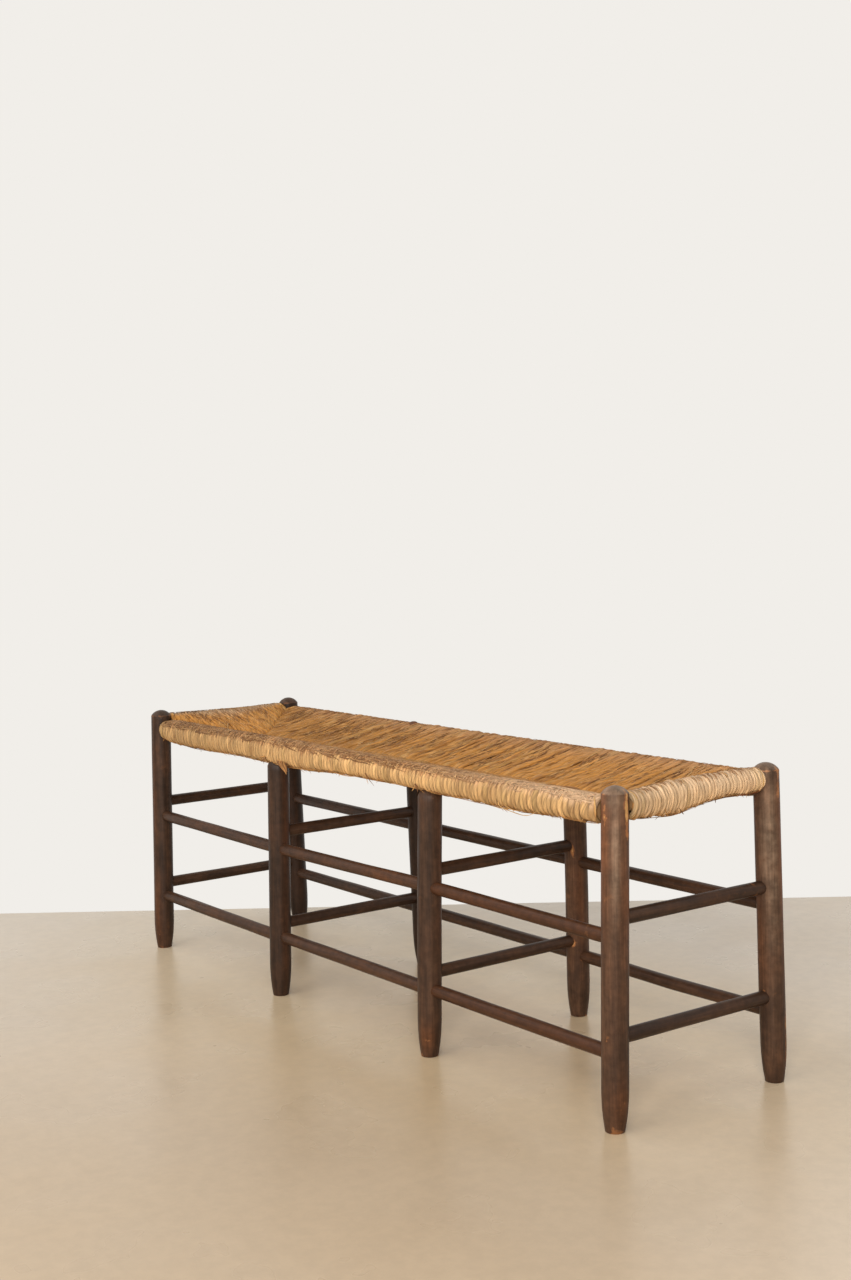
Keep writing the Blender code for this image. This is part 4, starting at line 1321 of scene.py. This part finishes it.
# Name, tint, half width, half thickness, direction of the width, places.
NAMED_STRANDS = [
    ("wisp", DARK_TAN, 0.0009, 0.0005, LENGTH_AXIS,
     [(0.076, -0.157, 0.4178), (0.086, -0.161, 0.4120), (0.0964, -0.162, 0.4050), (0.1096, -0.161, 0.3950)]),
    ("wisp fork", TAN, 0.0007, 0.0004, LENGTH_AXIS,
     [(0.086, -0.161, 0.4120), (0.093, -0.163, 0.4040), (0.097, -0.163, 0.3965)]),
    ("loop", STRAW, 0.0008, 0.0005, DEPTH_AXIS,
     [(0.4060, -0.153, 0.4090), (0.4138, -0.160, 0.4056), (0.4247, -0.162, 0.4010),
      (0.4572, -0.162, 0.3968), (0.4743, -0.161, 0.3962), (0.4893, -0.160, 0.4008),
      (0.4958, -0.156, 0.4080)]),
    ("low loop", STRAW, 0.0006, 0.0004, DEPTH_AXIS,
     [(0.4130, -0.157, 0.4098), (0.4300, -0.161, 0.4046),
      (0.4465, -0.160, 0.3999), (0.4600, -0.156, 0.4012)]),
    ("third hair", TAN, 0.0005, 0.0004, DEPTH_AXIS,
     [(0.392, -0.157, 0.4070), (0.405, -0.161, 0.4010), (0.428, -0.160, 0.3990), (0.440, -0.156, 0.4040)]),
    ("tuft at the second post", DARK_TAN, 0.0016, 0.0006, LENGTH_AXIS,
     [(-0.214, -0.158, 0.4080), (-0.2180, -0.162, 0.4030), (-0.2260, -0.163, 0.3985)]),
    ("tuft at the second post, high", TAN, 0.0014, 0.0006, LENGTH_AXIS,
     [(-0.212, -0.158, 0.4100), (-0.2220, -0.162, 0.4070), (-0.2330, -0.163, 0.4050)]),
    ("drape at the second post", BROWN_TAN, 0.0018, 0.0007, LENGTH_AXIS,
     [(-0.1830, -0.156, 0.4090), (-0.1740, -0.1612, 0.4020),
      (-0.1600, -0.1620, 0.3940), (-0.1490, -0.1612, 0.3868)]),
    ("drape, second leaf", ROLL_TAN, 0.0022, 0.0007, LENGTH_AXIS,
     [(-0.1760, -0.156, 0.4095), (-0.1680, -0.1612, 0.4025),
      (-0.1570, -0.1620, 0.3950), (-0.1475, -0.1612, 0.3852)]),
    ("drape, third leaf", BROWN_TAN, 0.0020, 0.0007, LENGTH_AXIS,
     [(-0.1680, -0.156, 0.4090), (-0.1620, -0.1612, 0.4020),
      (-0.1540, -0.1618, 0.3960), (-0.1465, -0.1612, 0.3872)]),
    ("drape, fourth leaf", ROLL_TAN, 0.0022, 0.0007, LENGTH_AXIS,
     [(-0.1600, -0.156, 0.4085), (-0.1550, -0.1610, 0.4020),
      (-0.1500, -0.1616, 0.3970), (-0.1460, -0.1612, 0.3890)]),
    ("drape, last leaf", DARK_TAN, 0.0018, 0.0006, LENGTH_AXIS,
     [(-0.1520, -0.156, 0.4080), (-0.1490, -0.1608, 0.4020),
      (-0.1465, -0.1612, 0.3970), (-0.1450, -0.1612, 0.3915)]),
    ("tuft at the third post", DARK_TAN, 0.0016, 0.0006, LENGTH_AXIS,
     [(0.2130, -0.158, 0.4110), (0.2228, -0.1620, 0.4070), (0.2276, -0.1635, 0.4000)]),
    ("tuft at the third post, left", TAN, 0.0013, 0.0005, LENGTH_AXIS,
     [(0.2190, -0.158, 0.4110), (0.2170, -0.162, 0.4050), (0.2120, -0.163, 0.3990)]),
    ("low strand", TAN, 0.0010, 0.0006, DEPTH_AXIS,
     [(-0.0350, -0.154, 0.4060), (-0.0246, -0.157, 0.4048), (0.0186, -0.157, 0.4012),
      (0.0530, -0.157, 0.4030), (0.0753, -0.155, 0.4062)]),
    ("strand at the right post", STRAW, 0.0011, 0.0006, LENGTH_AXIS,
     [(0.6080, -0.1560, 0.4378), (0.6150, -0.1610, 0.4290),
      (0.6175, -0.1625, 0.4200), (0.6170, -0.1615, 0.4110)]),
    ("second strand at the right post", TAN, 0.0012, 0.0006, LENGTH_AXIS,
     [(0.6110, -0.1590, 0.4300), (0.6160, -0.1625, 0.4200), (0.6190, -0.1630, 0.4095)]),
    ("line below the roll", DARK_TAN, 0.0010, 0.0006, DEPTH_AXIS,
     [(0.2320, -0.148, 0.4040), (0.2389, -0.155, 0.4050),
      (0.2876, -0.156, 0.4000), (0.3050, -0.150, 0.4020)]),
]

rng = np.random.default_rng(7)
mesh = Mesh()
for _, tint, half_wide, half_thick, across, places in NAMED_STRANDS:
    tip = 0.6 if half_wide > 0.002 else 0.25
    add_strand(mesh, places, half_wide, half_thick, tint, across, rng, tip=tip)
for side in SIDE_FRAME:
    half = measures_of(side)[0]
    for end in (-1, 1):
        late = LEFT_START.get(side, 0.0) if end < 0 else 0.0
        for away, lift, tint in CORNER_FILL:
            places = [roll_place(side, end * (half - away - late), turn, lift) for turn in CORNER_TURNS]
            add_strand(mesh, places, CORNER_LEAF, CORNER_LEAF, tint, SIDE_FRAME[side][0], rng, 2, 8, 0.8)
places = [roll_place("right", along, DARK_LEAF_TURN, 0.0004) for along in DARK_LEAF]
add_strand(mesh, places, 0.0024, 0.0012, DARK_LEAF_TINT, LENGTH_AXIS, rng, tip=0.5)
mesh.build("hanging_strands", leaf_finish)
print("named strands:", [name for name, *_ in NAMED_STRANDS])

# %% Fibres strewn over the rolls
# Side, how many lie matted along the top, how many follow the cords over it, how many lie
# along the lower lip, and how many ends stand out below.
STREWN = [("front", 640, 520, 90, 50), ("back", 60, 90, 20, 26),
          ("left", 20, 60, 8, 8), ("right", 4, 60, 26, 8)]
MAT_TINTS = [dye(186, 136, 88), dye(164, 116, 72), dye(212, 166, 112), dye(148, 104, 64), dye(184, 140, 96)]
LIP_TINTS = [dye(190, 136, 78), dye(156, 106, 58), dye(210, 162, 102), dye(120, 78, 42)]
# How far leaves stay from the middle of the posts: those along the roll, those across it, ends.
LYING_ROOM = 0.022
CROSSING_ROOM = 0.024
ENDS_ROOM = 0.03
LEAF_THICK = 0.00028
END_THICK = 0.0003
# The shares of a leaf's length at which its line is set.
LEAF_SHARES = (0, 0.33, 0.66, 1)


def around_roll(side, turn):
    """The direction round a roll at an angle, square to its length."""
    outward = SIDE_FRAME[side][1]
    angle = math.radians(turn)
    return Vector((0, 0, math.cos(angle))) - outward * math.sin(angle)


def mat_tone(side, share, tint):
    """A leaf's tint, as pale and as light as the top of the roll is there."""
    pale = read_table(CREST_PALE, share) if side == "front" else 0.0
    light = read_table(CREST_LIGHT[side], share) ** 0.5
    return (tint + (END_CREST_TINT - tint) * pale * 0.85) * light


def lay_along(mesh, side, turn, length, half_wide, lift, slant, tints, rng):
    """A flat leaf that lies along a roll, at an angle round it."""
    half = measures_of(side)[0] - LYING_ROOM
    start = rng.uniform(-half, half - length * 0.5)
    places = []
    for share in LEAF_SHARES:
        along = min(start + length * share, half)
        raised = lift * (0.3 + math.sin(math.pi * share) * rng.uniform(0.2, 1))
        places.append(roll_place(side, along, turn + slant * share + rng.normal(0, 2.5), raised))
    tint = tints[rng.integers(len(tints))]
    if turn > 0:
        tint = mat_tone(side, start / half, tint)
    add_strand(mesh, places, half_wide, LEAF_THICK, tint, around_roll(side, turn + slant / 2), rng, 3, 4)


def lay_across(mesh, side, turn, sweep_angle, half_wide, tints, rng):
    """A flat leaf that follows the cords round a roll."""
    half = measures_of(side)[0] - CROSSING_ROOM
    start = rng.uniform(-half, half)
    slant = rng.normal(0, 0.0022)
    places = []
    for share in LEAF_SHARES:
        along = min(max(start + slant * share, -half), half)
        raised = 0.0002 + 0.0003 * math.sin(math.pi * share)
        places.append(roll_place(side, along, turn - sweep_angle * share, raised))
    tint = mat_tone(side, start / half, tints[rng.integers(len(tints))])
    add_strand(mesh, places, half_wide, LEAF_THICK, tint, SIDE_FRAME[side][0], rng, 3, 4)


strewn_count = 0
for number, (side, lying, crossing, lips, ends) in enumerate(STREWN):
    rng = np.random.default_rng(11 + number)
    mesh = Mesh()
    half = measures_of(side)[0] - ENDS_ROOM
    low_turn = 32 if side == "front" else 50
    for _ in range(lying):
        turn = rng.uniform(low_turn, 104)
        length, half_wide = rng.uniform(0.016, 0.060), rng.uniform(0.0005, 0.0012)
        lay_along(mesh, side, turn, length, half_wide, 0.0003, rng.normal(0, 7), MAT_TINTS, rng)
    for _ in range(crossing):
        turn = rng.uniform(low_turn + 20, 110)
        sweep_angle, half_wide = rng.uniform(16, 44), rng.uniform(0.0006, 0.0016)
        lay_across(mesh, side, turn, sweep_angle, half_wide, MAT_TINTS, rng)
    for _ in range(lips):
        turn = rng.uniform(-84, -50)
        length, half_wide = rng.uniform(0.030, 0.110), rng.uniform(0.0006, 0.0014)
        lay_along(mesh, side, turn, length, half_wide, 0.0009, rng.normal(0, 8), LIP_TINTS, rng)
    for _ in range(ends):
        along, turn = rng.uniform(-half, half), rng.uniform(-100, -30)
        out, drift = rng.uniform(0.0015, 0.0060), rng.normal(0, 0.006)
        steps = ((0.0, 12, -0.0008), (drift * 0.4, 0, 0.3 * out), (drift, -8, out))
        places = [roll_place(side, along + aside, turn + round_it, lift) for aside, round_it, lift in steps]
        tint = LIP_TINTS[rng.integers(len(LIP_TINTS))]
        half_wide = rng.uniform(0.0004, 0.0009)
        add_strand(mesh, places, half_wide, END_THICK, tint, SIDE_FRAME[side][0], rng, 3, 4)
    mesh.build(side + "_strewn_fibres", leaf_finish)
    strewn_count += lying + crossing + lips + ends
print("strewn fibres:", strewn_count)

# %% [markdown]
# Where people sat, leaves have lifted off the cords and lie over them, brown side or pale
# side up. Each flake follows its cord from the roll toward the seam, with a slight slant.

# %% Flakes on the sitting surface
# Side, number of flakes.
FLAKES = [("front", 1900), ("back", 1500), ("left", 90), ("right", 150)]
FLAKE_THICK = 0.00022
FLAKE_TINTS = [dye(146, 98, 52), dye(174, 120, 66), dye(200, 146, 84), dye(220, 172, 110), dye(136, 90, 48)]


def field_place(side, along, inward, lift):
    """A place on the sitting surface, by the distance in from its rail."""
    half, other, *_ = measures_of(side)
    from_other = half - abs(along)
    surface = top_of_seat(inward, from_other) if side in LONG_SIDES else top_of_seat(from_other, inward)
    crest = read_table(CREST_RISE[side], along / half) * math.exp(-inward / CREST_REACH)
    run, outward, _ = SIDE_FRAME[side]
    return run * along + outward * (other - inward) + Vector((0, 0, float(surface) + crest + lift))


rng = np.random.default_rng(23)
mesh = Mesh()
for side, count in FLAKES:
    half = measures_of(side)[0]
    for _ in range(count):
        along = rng.uniform(-half + 0.045, half - 0.045)
        deepest = min(half - abs(along), HALF_DEPTH) - 0.012
        length = rng.uniform(0.010, 0.038)
        start = rng.uniform(0.004, max(deepest - length, 0.006))
        slant = rng.normal(0, 0.24)
        bend = rng.normal(0, 0.0014)
        curl = rng.uniform(0.0, 0.0005)
        places = []
        for share in LEAF_SHARES:
            inward = min(start + length * share, deepest)
            raised = -0.0002 + curl * math.sin(math.pi * share)
            aside = slant * length * share + bend * math.sin(math.pi * share)
            places.append(field_place(side, along + aside, inward, raised))
        tint = FLAKE_TINTS[rng.integers(len(FLAKE_TINTS))]
        half_wide = rng.uniform(0.0005, 0.0014)
        add_strand(mesh, places, half_wide, FLAKE_THICK, tint, SIDE_FRAME[side][0], rng, 3, 4)
mesh.build("seat_flakes", leaf_finish)
print("flakes:", sum(count for side, count in FLAKES))

# %% [markdown]
# ## Packing
#
# Between the two layers of cord the seat is stuffed with broken leaves. Nothing of it
# shows but a dark softness between loose cords. It starts as a copy of the packing's
# solid, is remeshed into an even skin, and is pushed in here more and there less, so that
# it is lumpy.

# %% Packing
PACKING_VOXEL = 0.006
# How deep the lumps are, how close they lie, and how far in their noise is shifted.
PACKING_LUMP = 0.0012
LUMPS_PER_METRE = 60
PACKING_SHIFT = 0.6
SHRED_DARK = seen(96, 68, 40)
SHRED_PALE = seen(176, 138, 86)


def packing_finish():
    stuff = Finish("broken dry rush")
    place = stuff.add("TexCoord").outputs["Object"]
    shreds = stuff.noise(stuff.stretched(place, (40, 160, 160)), 1.0, 4.0)
    tone = stuff.blend(stuff.span(shreds, 0.3, 0.7), opaque(SHRED_DARK), opaque(SHRED_PALE))
    stuff.feed(stuff.surface, "Base Color", tone)
    stuff.feed(stuff.surface, "Roughness", 0.85)
    stuff.bump(shreds, 0.0015, 0.9)
    return stuff.material


packing_material = packing_finish()
for name in ("front", "back", "left", "right"):
    deselect()
    node = name + "_rush_packing"
    lump = bpy.data.objects.new("stuffed_" + node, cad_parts[node].data.copy())
    bpy.context.collection.objects.link(lump)
    bpy.context.view_layer.objects.active = lump
    lump.select_set(True)
    bpy.ops.object.mode_set(mode="EDIT")
    bpy.ops.mesh.select_all(action="SELECT")
    bpy.ops.mesh.remove_doubles(threshold=0.00001)
    bpy.ops.object.mode_set(mode="OBJECT")
    remesh = lump.modifiers.new("even skin", "REMESH")
    remesh.mode = "VOXEL"
    remesh.voxel_size = PACKING_VOXEL
    bpy.ops.object.modifier_apply(modifier=remesh.name)
    for vertex in lump.data.vertices:
        push = noise.noise(vertex.co * LUMPS_PER_METRE) - PACKING_SHIFT
        vertex.co += vertex.normal * PACKING_LUMP * push
    lump.data.materials.clear()
    lump.data.materials.append(packing_material)
    lump.data.shade_smooth()
    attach(lump, "root")
    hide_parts(node)
    print(lump.name, "faces", len(lump.data.polygons))
